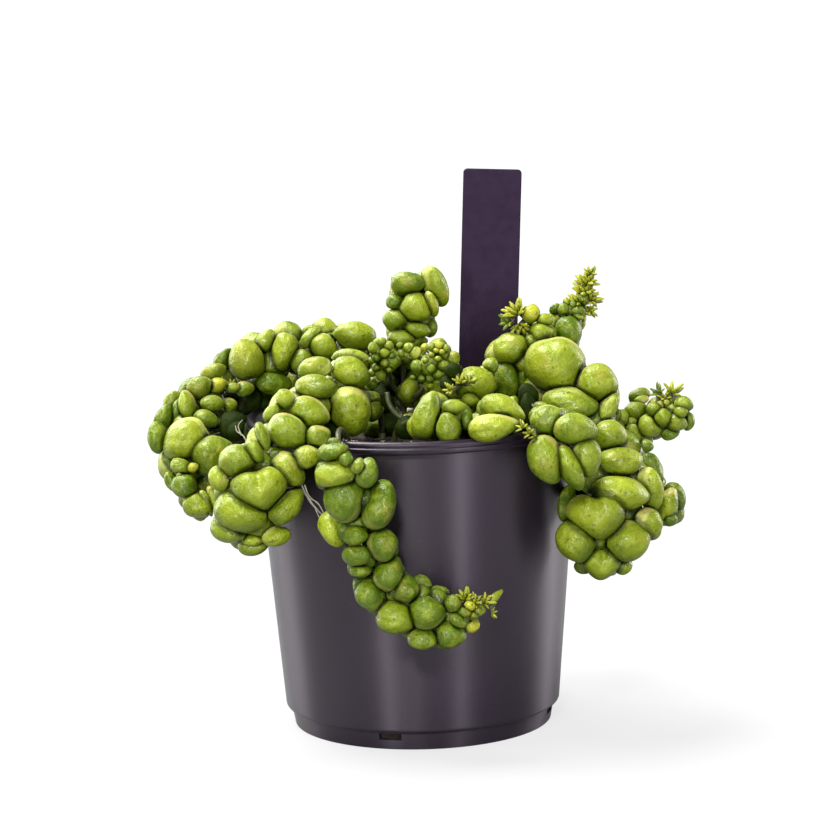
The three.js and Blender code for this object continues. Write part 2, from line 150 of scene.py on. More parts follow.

# Each strand's path lists x, y, z and the size of the leaves there. A branch gives the place in its
# parent's path that it leaves from, and then its own path. A strand's "pale" makes its leaves paler or
# darker than others: partly their own green, partly painted light and shade, as the hook's darker green
# for the shade under the crown.
STRANDS = [
    {
        "name": "strand_arch_left", "seed": 11, "turn": 0.9, "pitch": 0.56, "pale": 0.35,
        "path": [
            (-10, 16, 103, 7), (-12, 18, 116, 8), (-19, 22, 127, 9.5), (-29, 26, 131, 11),
            (-39, 28, 129, 11), (-51, 28, 126, 12), (-61, 24, 121, 14), (-70, 16, 116, 12),
            (-77, 6, 110, 13), (-79, -4, 103, 16), (-78, -12, 95, 15), (-77, -18, 88, 12),
            (-75, -22, 82, 9),
        ],
    },
    {
        "name": "strand_rope_left", "seed": 12, "turn": 1.15, "pitch": 0.5, "face": 0.35, "pale": 0.52,
        "path": [
            (-12, -4, 103, 8), (-13, -5, 114, 10), (-19, -9, 121, 13), (-28, -20, 121, 14.5),
            (-38, -32, 117, 14.5), (-48, -42, 110, 14), (-53, -46, 102, 15), (-55, -46, 93, 18),
            (-56, -45, 84, 18), (-57, -44, 77, 14), (-57, -44, 71, 9),
        ],
    },
    {
        "name": "strand_hook_front", "seed": 13, "turn": 1.4, "face": 0.6, "ranks": 2,
        "pale": -0.38, "lip_turn": 2.6,
        "path": [
            (-22, -36, 103, 5), (-24, -44, 111, 5), (-26, -55, 114.5, 5.5), (-26, -64, 111, 8),
            (-24, -67, 105, 11), (-21, -67, 98, 13), (-19, -65, 90, 12.5), (-17, -63, 81, 10),
            (-16, -62, 73, 9.5), (-14, -61, 65, 9.5), (-10, -61, 57, 10), (-4, -61, 52, 11),
            (4, -62, 51, 10), (11, -62, 53, 8.5), (17, -63, 57, 6), (23, -63, 58, 3),
        ],
    },
    {
        "name": "strand_upright", "seed": 14, "pale": -0.2,
        "path": [
            (-4, 6, 103, 7), (-4, 5, 114, 8), (-4, 4, 125, 8.5), (-4, 4, 132, 9.5),
            (-2, 4, 139, 9.5), (-1, 4, 145, 9.5), (1, 4, 150, 10.5), (3, 4, 155, 8),
        ],
        "branches": [
            (1, [
                (-8, -1, 121, 5), (-9, -5, 127, 6.5), (-12, -8, 134, 5.5),
            ]),
            (1, [
                (0, -5, 117, 5), (4, -12, 122, 7), (7, -16, 129, 8), (10, -18, 135, 5),
            ]),
        ],
    },
    {
        "name": "strand_low_centre", "seed": 15, "pale": 0.45,
        "path": [
            (-8, -24, 103, 7), (-6, -28, 110, 9), (0, -36, 114, 12), (8, -42, 115, 11.5),
            (16, -44, 115, 11), (24, -42, 115, 15), (32, -38, 114, 12),
        ],
    },
    {
        "name": "strand_tuft_centre", "seed": 16, "pale": 0.75,
        "path": [
            (20, -20, 103, 6), (20, -23, 111, 8), (20, -26, 118, 7), (17, -31, 124, 5),
            (15, -34, 129, 3),
        ],
    },
    {
        "name": "strand_rope_right", "seed": 17, "turn": 1.15, "face": 0.35, "pale": 0.52,
        "path": [
            (22, 2, 103, 7), (23, 2, 113, 9), (29, 2, 121, 11), (37, 1, 126, 13),
            (48, -2, 126, 18), (58, -8, 120, 16), (62, -15, 112, 13), (64, -21, 103, 14),
            (65, -25, 95, 15), (65, -28, 86, 17), (63, -31, 78, 18), (62, -33, 71, 15),
            (62, -34, 64, 9),
        ],
        "branches": [
            (6, [
                (68, -5, 106, 5.5), (77, 0, 103, 7), (85, -2, 106, 7), (94, -4, 109, 5.5),
            ]),
            (8, [
                (77, -20, 89, 9.5), (86, -20, 83, 9.5), (93, -20, 81, 7),
            ]),
            (4, [
                (49, 6, 132, 9), (54, 10, 138, 10.5), (56, 10, 144, 8), (59, 10, 150, 5),
                (63, 10, 158, 2),
            ]),
            (3, [
                (42, 1, 133, 9), (42, 0, 139, 8), (38, -1, 144, 5), (35, -1, 147, 3),
            ]),
        ],
    },
    {
        "name": "strand_rope_inner_right", "seed": 18, "pale": 0.25,
        "path": [
            (32, -22, 103, 7), (34, -26, 112, 9), (38, -31, 118, 10.5), (44, -40, 115, 12),
            (48, -48, 108, 13), (50, -50, 100, 11.5), (51, -50, 94, 7),
        ],
        "branches": [
            (3, [
                (43, -51, 114, 3), (39, -56, 114, 3), (35, -58, 116, 2),
            ]),
        ],
    },
    {
        "name": "strand_back_left", "seed": 19,
        "path": [
            (-18, 26, 103, 7), (-20, 32, 113, 10), (-26, 46, 119, 12), (-33, 60, 115, 13),
            (-38, 66, 103, 14), (-39, 64, 88, 14), (-37, 61, 72, 12), (-34, 59, 60, 8),
        ],
    },
    {
        "name": "strand_back_right", "seed": 21,
        "path": [
            (16, 30, 103, 7), (20, 34, 113, 9), (32, 44, 119, 12), (44, 54, 114, 13),
            (50, 57, 102, 15), (50, 56, 87, 14), (47, 55, 73, 11), (45, 54, 62, 7),
        ],
    },
]

# The paleness of a strand that gives none, and painted light and shade by height: how much paler leaves
# are painted at a few heights, darker just over the rim, where they stand in shade, and paler on top,
# where they stand in full light.
PALE = 0.3
PAINTED_LIGHT_BY_HEIGHT = ((98, 110, 121, 132), (0, -0.25, -0.1, 0.45))

# Leaves that show from the front: a list for each strand's stem, and then one for each of its branches. A
# row gives where the leaf's middle is seen, in millimetres right of and above CAMERA_TARGET, its length and
# width as seen, the direction of its tip in degrees, and words for its kind. A "burst" row is a tuft of
# narrow leaves: it gives their length, their number, and the direction that the tuft points in.
FRONT = {
    "strand_arch_left": [[
        (-20.5, 77, 15, 10, 175, "pale"), (-30.5, 76.5, 5.5, 4.5, 40, "behind"), (-32, 74, 10.5, 8.5, -20),
        (-36.5, 77, 9, 5.5, 45), (-40, 69, 9, 9, 60), (-46, 72.5, 14, 10, -105),
        (-46, 73.5, 8, 6, 0, "behind"), (-52.5, 76, 9, 6.5, 60), (-59.5, 69.5, 15, 12.5, 100, "spot"),
        (-50.5, 61.5, 13, 8, -10, "dark"), (-67.5, 70, 9, 5.5, 50, "dark behind"),
        (-57.5, 76, 5, 3.5, 20, "dark behind"), (-71.5, 65.5, 9, 6, 20, "tan"),
        (-70, 61, 6.5, 5.5, 10, "ripe"), (-76.5, 60.5, 9, 7.5, 20, "tan"),
        (-79, 59.5, 9.5, 9, 40, "dark behind"), (-81, 54, 10.5, 6, 100, "pale"), (-72, 54.5, 8.5, 6, -5),
        (-66, 54, 5.5, 5, 0), (-74.5, 49, 9, 6.5, -20), (-60.5, 59.5, 6.5, 5.5, 0),
        (-64.5, 60, 5.5, 3.5, 0, "tan"), (-84, 52.5, 9, 5, 75, "dark behind"),
        (-91.5, 43, 11, 6.5, 95, "dark"), (-81.5, 41.5, 16.5, 15, 210, "pale"),
        (-87.5, 35, 8, 4.5, -60, "dark behind"), (-73, 36.5, 15.5, 13, 20, "spot"),
        (-83.5, 32.5, 8, 5.5, -20), (-87, 27.5, 7, 4.5, -70, "dark behind"),
        (-79.5, 32, 4.5, 3.5, 20, "ripe"), (-82.5, 25.5, 9, 8.5, -45, "dark"), (-84, 29, 3, 3, 90, "ripe"),
        (-78, 18.5, 10.5, 8.5, -20), (-75, 19.5, 9, 3.5, -70, "shell"),
        (-72.5, 20.5, 9.5, 3.5, -75, "shell"), (-58.5, 54.5, 10.5, 9, 60, "deep"),
        (-64, 44.5, 9, 8.5, 0, "deep"), (-65, 45.5, 12, 11.5, 0, "deep"), (-69.5, 41.5, 9, 6.5, 0, "deep"),
        (-59, 43.5, 8.5, 8.5, 0, "deep"), (-58, 47.5, 8.5, 9, 90, "deep"), (-53, 58, 8.5, 8, 0, "deep"),
        (-63.5, 51.5, 8, 7, 0, "deep"), (-66, 57, 8.5, 7, 0, "deep"),
        (-89, 50, 9.5, 5.5, 60, "dark behind"), (-86, 55.5, 8, 5.5, 60, "tan behind"),
        (-36.5, 79.5, 6.5, 4, 10, "behind"), (-72, 45, 9, 5.5, -20, "deep"), (-64, 41, 7, 5, 0, "deep"),
        (-74.5, 58.5, 7, 5.5, 0, "deep"), (-54, 54, 6.5, 5.5, 0, "deep"), (-60, 50.5, 5.5, 5, 0, "deep"),
        (-69, 61.5, 3, 12, 100, "burst"), (-65, 60.5, 3, 10, 80, "burst"),
        (-71.5, 65.5, 3, 9, 110, "burst"),
    ]],
    "strand_rope_left": [[
        (-23, 70, 12, 6, -12, "shell"), (-23, 64, 13.5, 11.5, -20), (-25, 60, 9, 7, -20, "behind"),
        (-35.5, 65.5, 12, 8, 15, "pale behind"), (-35.5, 59, 14, 9.5, -5, "spot"),
        (-23.5, 51, 16.5, 15, -80), (-15.5, 51, 8.5, 6.5, 80), (-38, 50.5, 14, 10.5, -20),
        (-46, 55.5, 7, 6.5, 120, "pale"), (-50.5, 50.5, 8, 5.5, 50, "pale behind"),
        (-45.5, 44, 14, 11.5, -30), (-35, 42, 8.5, 7.5, 0, "spot"), (-54.5, 42.5, 10, 4.5, -70),
        (-57.5, 37.5, 9, 5.5, -60), (-63.5, 34, 13, 11, 0, "spot"), (-56, 24.5, 15, 19.5, -80, "heart"),
        (-63, 16, 17.5, 14.5, -12), (-67.5, 10, 12.5, 9, -20), (-47, 17.5, 15, 9, 43),
        (-59, 5.5, 7, 4.5, 0), (-59, 3.5, 9.5, 6, 0, "spot"), (-46, 30.5, 13.5, 10.5, -50, "spot"),
        (-39.5, 35, 11, 7.5, 0), (-49, 35.5, 8, 4.5, 10, "dark behind"), (-50.5, 7, 10, 6.5, 10),
        (-70, 28, 9, 7, -70, "pale"), (-65.5, 26, 5.5, 3.5, 90, "behind"), (-41.5, 30, 9, 8, 0, "deep"),
        (-30.5, 44, 10.5, 9, 0, "deep"), (-55.5, 12, 8.5, 7, 0, "deep"),
    ]],
    "strand_hook_front": [[
        (-29.5, 36.5, 9.5, 5.5, 15), (-25, 33.5, 4.5, 4.5, 0), (-22, 34.5, 3, 3, 0, "ripe"),
        (-29, 27.5, 14.5, 9.5, 5, "pale"), (-21, 31, 5.5, 4, 60), (-26, 19, 15.5, 14, -90),
        (-18, 28, 10, 7.5, 70), (-14, 16.5, 16.5, 11.5, 70, "spot"), (-30, 9, 12.5, 7, -40, "pale behind"),
        (-22.5, 6.5, 8, 6.5, 0), (-13, 3, 11, 10.5, -80), (-22, -0.5, 10, 7.5, 0), (-21, -6, 7, 4.5, 0),
        (-11, -7.5, 12.5, 9.5, 65), (-18, -14.5, 11, 9, -60), (-5.5, -13, 10, 9.5, 80),
        (0.5, -12, 8, 6.5, -60, "dark behind"), (6.5, -15, 7, 5.5, 0, "behind"),
        (-9, -23, 13, 11, -10, "pale"), (-13.5, -18.5, 5, 4, 0, "dark behind"), (2, -21.5, 12, 11.5, 0),
        (0.5, -30.5, 10.5, 7, 0), (10, -29, 10.5, 9, -20), (11.5, -18.5, 6, 5.5, 90, "tan"),
        (13, -24.5, 6.5, 4.5, -45), (15.5, -21.5, 4.5, 3.5, 0, "tan"), (19, -22.5, 3.5, 3, 0, "tan"),
        (18, -26.5, 5, 4, 20, "ripe"), (26.5, -16.5, 7.5, 3, 28, "tuft"),
        (16, -17.5, 4.5, 14, 100, "burst"), (19, -19, 4, 12, 30, "burst"), (18, -22, 3, 8, -60, "burst"),
        (22.5, -18.5, 4, 8, 20, "burst"), (25, -22, 2.5, 5, -20, "burst"), (20.5, -21, 4.5, 4, 0, "tan"),
        (17.5, -19.5, 4, 3.5, 0, "ripe"),
    ]],
    "strand_upright": [[
        (-2, 95.5, 12, 8, -5), (8, 94.5, 14.5, 7.5, -58, "spot"), (-6.5, 89, 6, 5.5, 0, "dark"),
        (1, 87, 11.5, 10, -35), (6.5, 88, 9, 4.5, -65), (-6.5, 83, 8.5, 7, 0), (1.5, 79, 8.5, 6, -10),
        (6, 79.5, 6.5, 4.5, 90, "dark behind"), (-4.5, 76, 9.5, 6, 0), (-3.5, 70, 5.5, 6.5, 90, "pale"),
        (2.5, 75, 5, 3.5, 0, "dark behind"), (-11, 54.5, 10, 10.5, 90, "deep"),
        (-10, 45.5, 10, 11.5, 90, "deep"), (-6.5, 60, 8, 9, 90, "deep"),
        (-15, 44.5, 9, 9, 90, "dark behind"), (-5, 65.5, 6.5, 7, 90, "deep"),
    ], [
        (-14.5, 73, 4, 3.5, 80), (-11.5, 75, 3.5, 3, 30), (-9, 73.5, 3.5, 3.5, 60),
        (-10.5, 71, 3.5, 3.5, 0, "pale"), (-13.5, 69.5, 3, 3, 0, "dark"), (-8, 70, 3, 3, 0, "dark"),
        (-15, 68.5, 2.5, 2.5, 0, "dark"), (-10.5, 67.5, 3.5, 3, 90, "dark"),
        (-13.5, 66, 3, 3, 0, "dark behind"), (-15, 64, 3, 3, 90, "dark"), (-12, 63, 4, 3.5, -60, "dark"),
        (-9, 65, 2, 2, 0, "dark"), (-15, 60.5, 4.5, 4.5, 90, "dark behind"),
    ], [
        (0.5, 70.5, 4.5, 4.5, 60), (4, 72.5, 3, 3, 0, "ripe"), (-2, 72.5, 3.5, 3.5, 60, "pale"),
        (1, 66, 4.5, 4.5, 0), (4, 68, 2.5, 2.5, 0), (6, 65, 3.5, 3.5, 90), (8.5, 63, 4, 3.5, 0),
        (10.5, 66, 4, 3.5, 0), (13.5, 68.5, 5, 5, 40, "pale behind"), (14, 65, 3, 2.5, 0, "dark behind"),
        (5.5, 61.5, 3, 3, 0, "dark"), (2.5, 61.5, 2.5, 2.5, 0, "dark"), (5.5, 59.5, 3.5, 3, 90, "pale"),
        (-0.5, 62, 2.5, 2, 0, "dark"), (8, 71.5, 2.5, 2, 0, "ripe"), (10, 71, 2.5, 2, 0, "ripe"),
        (6, 70, 2, 2, 0, "tan"), (12, 71.5, 2.5, 2.5, 0, "tan"), (8.5, 68.5, 2.5, 2, 0),
        (-5, 73.5, 2.5, 2, 0), (-4.5, 70.5, 3, 2.5, 0, "dark behind"),
        (-2, 57.5, 9, 6.5, 80, "pale behind"), (6.5, 72.5, 3.5, 3, 0, "tan"), (9, 73, 3.5, 3, 20, "ripe"),
        (11.5, 72, 3, 3, 0),
    ]],
    "strand_low_centre": [[
        (4, 48, 16.5, 9.5, 72), (11.5, 44, 11, 8.5, 90, "spot"), (13.5, 51, 8, 5, 0),
        (18, 46.5, 7, 4.5, 90, "dark behind"), (27, 43.5, 16, 9, 10, "pale"),
        (30.5, 50, 15, 9.5, -24, "pale"), (17, 43.5, 5.5, 9, 90, "deep"), (9.5, 53, 5.5, 7, 90, "deep"),
        (-3, 44, 8, 9, 90, "deep"),
    ]],
    "strand_tuft_centre": [[
        (21.5, 59, 13.5, 12, 0, "pale behind"), (19.5, 53.5, 6, 5.5, -20),
        (27, 65.5, 5.5, 5.5, 60, "behind"), (12, 59.5, 6.5, 5.5, 0, "deep"), (14, 64, 6, 5.5, 0, "deep"),
        (13, 57, 3.5, 8, 150, "burst"), (16, 59.5, 3.5, 9, 90, "burst"), (19, 59.5, 3.5, 7, 50, "burst"),
    ]],
    "strand_rope_right": [[
        (50, 65, 20, 20, -80), (64.5, 58.5, 14, 13, -20, "spot"), (43.5, 53, 6.5, 5.5, 0),
        (55, 51.5, 20, 10.5, -8), (68, 49, 12.5, 6, 55, "pale"), (68.5, 39.5, 11.5, 11, 0),
        (32.5, 60, 15, 9, 90, "dark"), (38.5, 60, 15, 8.5, 90, "dark behind"),
        (71.5, 30, 16, 11, 5, "spot"), (81.5, 35.5, 5, 4.5, 0, "dark"),
        (82.5, 27, 12, 6.5, -55, "dark behind"), (81.5, 20.5, 15, 8, -72, "pale"), (71, 19, 20, 13, -8),
        (63.5, 12, 16.5, 19.5, -85, "heart"), (53, 15.5, 13, 5.5, 85, "dark behind"),
        (56, 3, 15, 13.5, -75), (74, 2.5, 16.5, 14, 30), (80.5, 8, 12, 10.5, -40, "pale"),
        (64.5, -4.5, 12, 14.5, -90, "heart"), (72, -6.5, 6.5, 6, 0), (58.5, -6.5, 7.5, 5, 0, "dark behind"),
        (61, 24, 9, 7, 0, "deep"), (56, 20, 8.5, 6.5, 0, "deep"), (89, 9.5, 6, 5, 0, "dark behind"),
        (73.5, 14.5, 8, 6.5, 0, "deep"), (64, 2.5, 7, 7, 0, "deep"), (67, 34, 8.5, 7, 0, "deep"),
    ], [
        (73, 46, 5.5, 5, 80), (78, 48, 8, 6.5, 10), (80, 51.5, 5.5, 3, 10, "pale"),
        (79.5, 53, 7.5, 5.5, 0, "dark behind"), (77, 40, 8, 6.5, -70), (82.5, 42.5, 8.5, 8, -20),
        (84.5, 48.5, 5.5, 5, 0), (88, 45.5, 7, 6.5, -10), (92.5, 44, 7.5, 6.5, -20), (95, 50, 6.5, 6, -10),
        (96.5, 44, 6.5, 4.5, 90, "dark behind"), (90, 40, 6.5, 4, 20, "dark"), (87, 50, 3.5, 3, 0, "tan"),
        (89, 50.5, 3, 3, 0, "tan"), (86.5, 54, 4, 7, 120, "burst dark"), (91, 54, 5, 7, 60, "burst"),
        (88.5, 52, 3.5, 8, 90, "burst"), (91, 51, 6, 6, 0, "dark behind"), (94, 47.5, 5.5, 5, 40),
    ], [
        (88, 14, 13, 8, 75, "pale"), (91.5, 17.5, 10, 6.5, -70, "dark behind"),
    ], [
        (55, 77, 11.5, 9.5, -80, "dark"), (58.5, 82.5, 4, 3, -30, "pale"), (53.5, 85, 4.5, 4, 60, "dark"),
        (54.5, 87.5, 3.5, 2.5, 100), (47, 80.5, 6, 4.5, 0, "behind"), (57, 86.5, 3, 2.5, 0, "dark"),
        (59, 86.5, 5, 16, 80, "burst"), (61, 90, 5.5, 16, 75, "burst"), (63, 88, 4.5, 10, 20, "burst"),
        (62, 93.5, 5, 14, 80, "burst"), (60, 84.5, 4, 8, -60, "burst"), (63, 97, 3.5, 9, 75, "burst"),
        (62.5, 84.5, 3.5, 8, -20, "burst"), (58.5, 84, 5, 4.5, 0, "dark"),
        (50.5, 85, 4.5, 3.5, 40, "dark behind"), (48.5, 81.5, 5, 4, 0, "behind"),
        (60.5, 88.5, 4, 4, 60, "dark"),
    ], [
        (42, 83.5, 6.5, 6, 80, "ripe"), (46.5, 81, 6, 5, 0), (45, 76.5, 8.5, 8, 0), (42, 74, 6, 5.5, 0),
        (48.5, 76.5, 5.5, 4, -60, "pale behind"), (33.5, 81.5, 4.5, 4.5, 0, "dark"),
        (34.5, 71, 13, 11, 10, "pale"), (37, 71, 5.5, 5.5, 0), (37, 83.5, 5.5, 13, 100, "burst"),
        (34.5, 81, 4.5, 9, 170, "burst dark"), (38, 80, 5, 10, -90, "burst"),
    ]],
    "strand_rope_inner_right": [[
        (47, 45.5, 12, 10.5, 20), (56, 42, 15, 11, -6), (46, 32, 16, 12, -72), (54, 29, 16, 8.5, -62),
        (59.5, 32.5, 13.5, 10.5, -80), (40, 48, 6.5, 15, 0, "deep"), (40, 54.5, 7, 8.5, 0, "deep"),
        (51.5, 36.5, 8, 6.5, 0, "deep"),
    ], [
        (38, 43, 3, 6, 130, "burst"), (40.5, 41, 3, 6, 140, "burst"), (42.5, 40, 3, 5, 160, "burst"),
    ]],
}


# Camera and lights.

CAMERA_TARGET = Vector((0, 0, 0.060))
CAMERA_DISTANCE = 1.350
CAMERA_ELEVATION = math.radians(12.1)
CAMERA_ROLL = math.radians(1.44)
CAMERA_LENS = 163.2
CAMERA_SENSOR = 36
CAMERA_SPAN = (0.05, 20)
# The middle of the frame, right of and above the target.
FRAME_CENTRE = (0.0003, 0.0469)
AMBIENT_LIGHT = 0.30
FLOOR_REACH = 6
FLOOR_GLOW = 0.725

# The front view's own directions, and its target and distance in millimetres.
RIGHT = np.array((1.0, 0, 0))
RISE = np.array((0, math.sin(CAMERA_ELEVATION), math.cos(CAMERA_ELEVATION)))
NEARER = np.array((0, -math.cos(CAMERA_ELEVATION), math.sin(CAMERA_ELEVATION)))
TARGET = np.array(CAMERA_TARGET) / MM
DISTANCE = CAMERA_DISTANCE / MM


def link(made):
    bpy.context.scene.collection.objects.link(made)
    return made


def make_camera():
    """The front view, turned by its roll, with the frame's centre shifted off the target."""
    right, above, back = Vector(RIGHT), Vector(RISE), Vector(NEARER)
    cos, sin = math.cos(CAMERA_ROLL), math.sin(CAMERA_ROLL)
    rolled_right = cos * right - sin * above
    rolled_above = sin * right + cos * above
    place = CAMERA_TARGET + CAMERA_DISTANCE * back
    aim = CAMERA_TARGET + FRAME_CENTRE[0] * rolled_right + FRAME_CENTRE[1] * rolled_above
    data = bpy.data.cameras.new("camera")
    data.sensor_width = CAMERA_SENSOR
    data.lens = CAMERA_LENS
    data.clip_start, data.clip_end = CAMERA_SPAN
    camera = link(bpy.data.objects.new("camera", data))
    turn = (aim - place).to_track_quat("-Z", "Y").to_matrix()
    turn = turn @ Matrix.Rotation(-CAMERA_ROLL, 3, "Z")
    camera.matrix_world = Matrix.Translation(place) @ turn.to_4x4()
    bpy.context.scene.camera = camera


def area_light(name, place, size, power):
    """A rectangular light that faces the target."""
    data = bpy.data.lights.new(name, "AREA")
    data.shape = "RECTANGLE"
    data.size, data.size_y = size
    data.energy = power
    lamp = link(bpy.data.objects.new(name, data))
    lamp.location = place
    lamp.rotation_euler = (CAMERA_TARGET - Vector(place)).to_track_quat("-Z", "Y").to_euler()


def sun_light(name, towards, strength, softness):
    """A soft light from far off, with the same strength all over the floor."""
    data = bpy.data.lights.new(name, "SUN")
    data.energy = strength
    data.angle = math.radians(softness)
    lamp = link(bpy.data.objects.new(name, data))
    lamp.rotation_euler = (-Vector(towards)).to_track_quat("-Z", "Y").to_euler()


def make_studio():
    """An even surround, three suns, two narrow strips for the pot's streaks and a lamp on each side."""
    world = bpy.data.worlds.new("studio")
    bpy.context.scene.world = world
    world.use_nodes = True
    surround = world.node_tree.nodes["Background"]
    surround.inputs["Color"].default_value = (1, 1, 1, 1)
    surround.inputs["Strength"].default_value = AMBIENT_LIGHT
    sun_light("key", towards=(-0.40, 0.10, 1.00), strength=6.9, softness=34)
    sun_light("front", towards=(-0.10, -0.85, 0.60), strength=2.0, softness=9)
    sun_light("back", towards=(-0.50, 0.85, 0.60), strength=2.0, softness=34)
    area_light("strip_left", place=(-0.355, -0.720, 0.20), size=(0.026, 0.40), power=3.0)
    area_light("strip_right", place=(0.400, -0.700, 0.20), size=(0.032, 0.40), power=2.4)
    area_light("side_left", place=(-1.1, 0.62, 0.30), size=(0.45, 0.8), power=12)
    area_light("side_right", place=(1.1, 0.60, 0.30), size=(0.45, 0.8), power=13.5)
    bpy.context.scene.view_settings.view_transform = "Standard"
    mesh = bpy.data.meshes.new("floor")
    corners = [(FLOOR_REACH * x, FLOOR_REACH * y, 0) for x, y in ((-1, -1), (1, -1), (1, 1), (-1, 1))]
    mesh.from_pydata(corners, [], [(0, 1, 2, 3)])
    mesh.materials.append(floor_material())
    link(bpy.data.objects.new("floor", mesh))


# Materials. Scales are per metre.


class Paint:
    """A new material's node tree, with short calls to add nodes and to mix colours and numbers."""

    def __init__(self, name):
        self.material = bpy.data.materials.new(name)
        self.material.use_nodes = True
        self.tree = self.material.node_tree
        self.shader = self.tree.nodes["Principled BSDF"]
        self.place = self.node("ShaderNodeTexCoord").outputs["Object"]

    def node(self, kind, **settings):
        made = self.tree.nodes.new(kind)
        for key, value in settings.items():
            setattr(made, key, value)
        return made

    def put(self, value, socket):
        if isinstance(value, bpy.types.NodeSocket):
            self.tree.links.new(value, socket)
        elif isinstance(value, tuple) and len(value) == 3 and socket.type == "RGBA":
            socket.default_value = (*value, 1)
        else:
            socket.default_value = value

    def set(self, **values):
        """Sets the shader's sockets, whose names have an underscore here for each space."""
        for key, value in values.items():
            self.put(value, self.shader.inputs[key.replace("_", " ")])

    def noise(self, scale, detail=3.0, rough=0.5, stretch=None):
        made = self.node("ShaderNodeTexNoise")
        made.inputs["Scale"].default_value = scale
        made.inputs["Detail"].default_value = detail
        made.inputs["Roughness"].default_value = rough
        place = self.place
        if stretch:
            squeeze = self.node("ShaderNodeMapping")
            squeeze.inputs["Scale"].default_value = stretch
            self.put(place, squeeze.inputs["Vector"])
            place = squeeze.outputs["Vector"]
        self.put(place, made.inputs["Vector"])
        return made.outputs["Fac"]

    def cells(self, scale):
        made = self.node("ShaderNodeTexVoronoi")
        made.inputs["Scale"].default_value = scale
        self.put(self.place, made.inputs["Vector"])
        return made.outputs["Distance"]

    def attribute(self, name):
        return self.node("ShaderNodeAttribute", attribute_name=name).outputs["Fac"]

    def span(self, value, low, high, to_low=0.0, to_high=1.0):
        """A value's place between low and high, as a number between two others."""
        made = self.node("ShaderNodeMapRange", clamp=True)
        for socket, number in zip(made.inputs, (value, low, high, to_low, to_high)):
            self.put(number, socket)
        return made.outputs["Result"]

    def times(self, a, b):
        made = self.node("ShaderNodeMath", operation="MULTIPLY")
        self.put(a, made.inputs[0])
        self.put(b, made.inputs[1])
        return made.outputs["Value"]

    def mix(self, share, a, b):
        made = self.node("ShaderNodeMix", data_type="RGBA")
        self.put(share, made.inputs["Factor"])
        colour_a, colour_b = (s for s in made.inputs if s.type == "RGBA")
        self.put(a, colour_a)
        self.put(b, colour_b)
        return next(s for s in made.outputs if s.type == "RGBA")

    def bump(self, height, distance, strength=1.0, onto=None):
        made = self.node("ShaderNodeBump")
        made.inputs["Strength"].default_value = strength
        made.inputs["Distance"].default_value = distance
        self.put(height, made.inputs["Height"])
        if onto:
            self.put(onto, made.inputs["Normal"])
        return made.outputs["Normal"]


def floor_material():
    """A white floor that the camera sees evenly lit, and that throws little light back up."""
    paint = Paint("floor_white")
    seen_straight = paint.node("ShaderNodeLightPath").outputs["Is Camera Ray"]
    tone = paint.mix(paint.noise(3.0), (0.098, 0.098, 0.098), (0.106, 0.106, 0.106))
    tone = paint.mix(seen_straight, (0.20, 0.20, 0.20), tone)
    glow = paint.span(seen_straight, 0, 1, 0, FLOOR_GLOW)
    paint.set(Base_Color=tone, Roughness=0.9, Specular_IOR_Level=0.1)
    paint.set(Emission_Color=(1, 1, 1), Emission_Strength=glow)
    return paint.material


def leaf_material():
    """Plump leaf: green that varies from leaf to leaf and by painted light and shade, painted shade on
    the lower sides and where leaves touch, pale lips that are partly a painted rim highlight, specks
    and a waxy skin.
    """
    paint = Paint("leaf")
    broad = paint.noise(90.0, 2.0)
    patch = paint.noise(260.0, 5.0, 0.65)
    # Each leaf's green, paler or darker by chance and by its strand and height as painted light and shade.
    green = paint.mix(paint.attribute("tint"), (0.050, 0.096, 0.001), (0.215, 0.260, 0.009))
    green = paint.mix(paint.span(broad, 0.35, 0.70, 0.0, 0.6), green, (0.078, 0.128, 0.001))
    green = paint.mix(paint.span(patch, 0.45, 0.70, 0.0, 0.7), green, (0.240, 0.285, 0.016))
    green = paint.mix(paint.attribute("ripe"), green, (0.340, 0.330, 0.020))
    blotch = paint.times(paint.attribute("spot"), paint.span(patch, 0.42, 0.62, 0.0, 0.7))
    green = paint.mix(blotch, green, (0.200, 0.160, 0.025))
    speck = paint.span(paint.cells(1250.0), 0.05, 0.22, 0.40, 0.0)
    green = paint.mix(speck, green, (0.330, 0.360, 0.060))
    fleck = paint.span(paint.noise(700.0, 2.0), 0.60, 0.70, 0.0, 0.7)
    green = paint.mix(fleck, green, (0.045, 0.060, 0.003))
    # The pale lip: partly a pale, tan edge, partly a painted rim highlight.
    rim = paint.mix(paint.span(broad, 0.45, 0.62), (0.420, 0.450, 0.110), (0.340, 0.290, 0.080))
    green = paint.mix(paint.span(paint.attribute("lip"), 0.10, 0.8, 0.0, 0.9), green, rim)
    # Painted shade: deeper green on each leaf's lower side and round the leaves that touch it.
    green = paint.mix(paint.attribute("low"), green, (0.026, 0.056, 0.0005))
    # Painted shade: near black along the line where leaves touch.
    crease = paint.span(paint.attribute("crease"), 0.0, 1.0, 0.0, 0.97)
    green = paint.mix(crease, green, (0.004, 0.010, 0.001))
    rough = paint.span(patch, 0.3, 0.7, 0.34, 0.50)
    skin = paint.bump(paint.noise(260.0, 3.0, 0.55), 0.00085)
    skin = paint.bump(paint.noise(1100.0, 3.0, 0.6), 0.00020, onto=skin)
    skin = paint.bump(paint.cells(1500.0), 0.00010, onto=skin)
    paint.set(Base_Color=green, Roughness=rough, Normal=skin)
    paint.set(Specular_IOR_Level=0.42, Specular_Tint=(0.95, 1.0, 0.50))
    paint.set(Coat_Weight=0.15, Coat_Roughness=0.18)
    paint.set(Subsurface_Weight=0.12, Subsurface_Radius=(1.0, 1.0, 0.10), Subsurface_Scale=0.0008)
    return paint.material


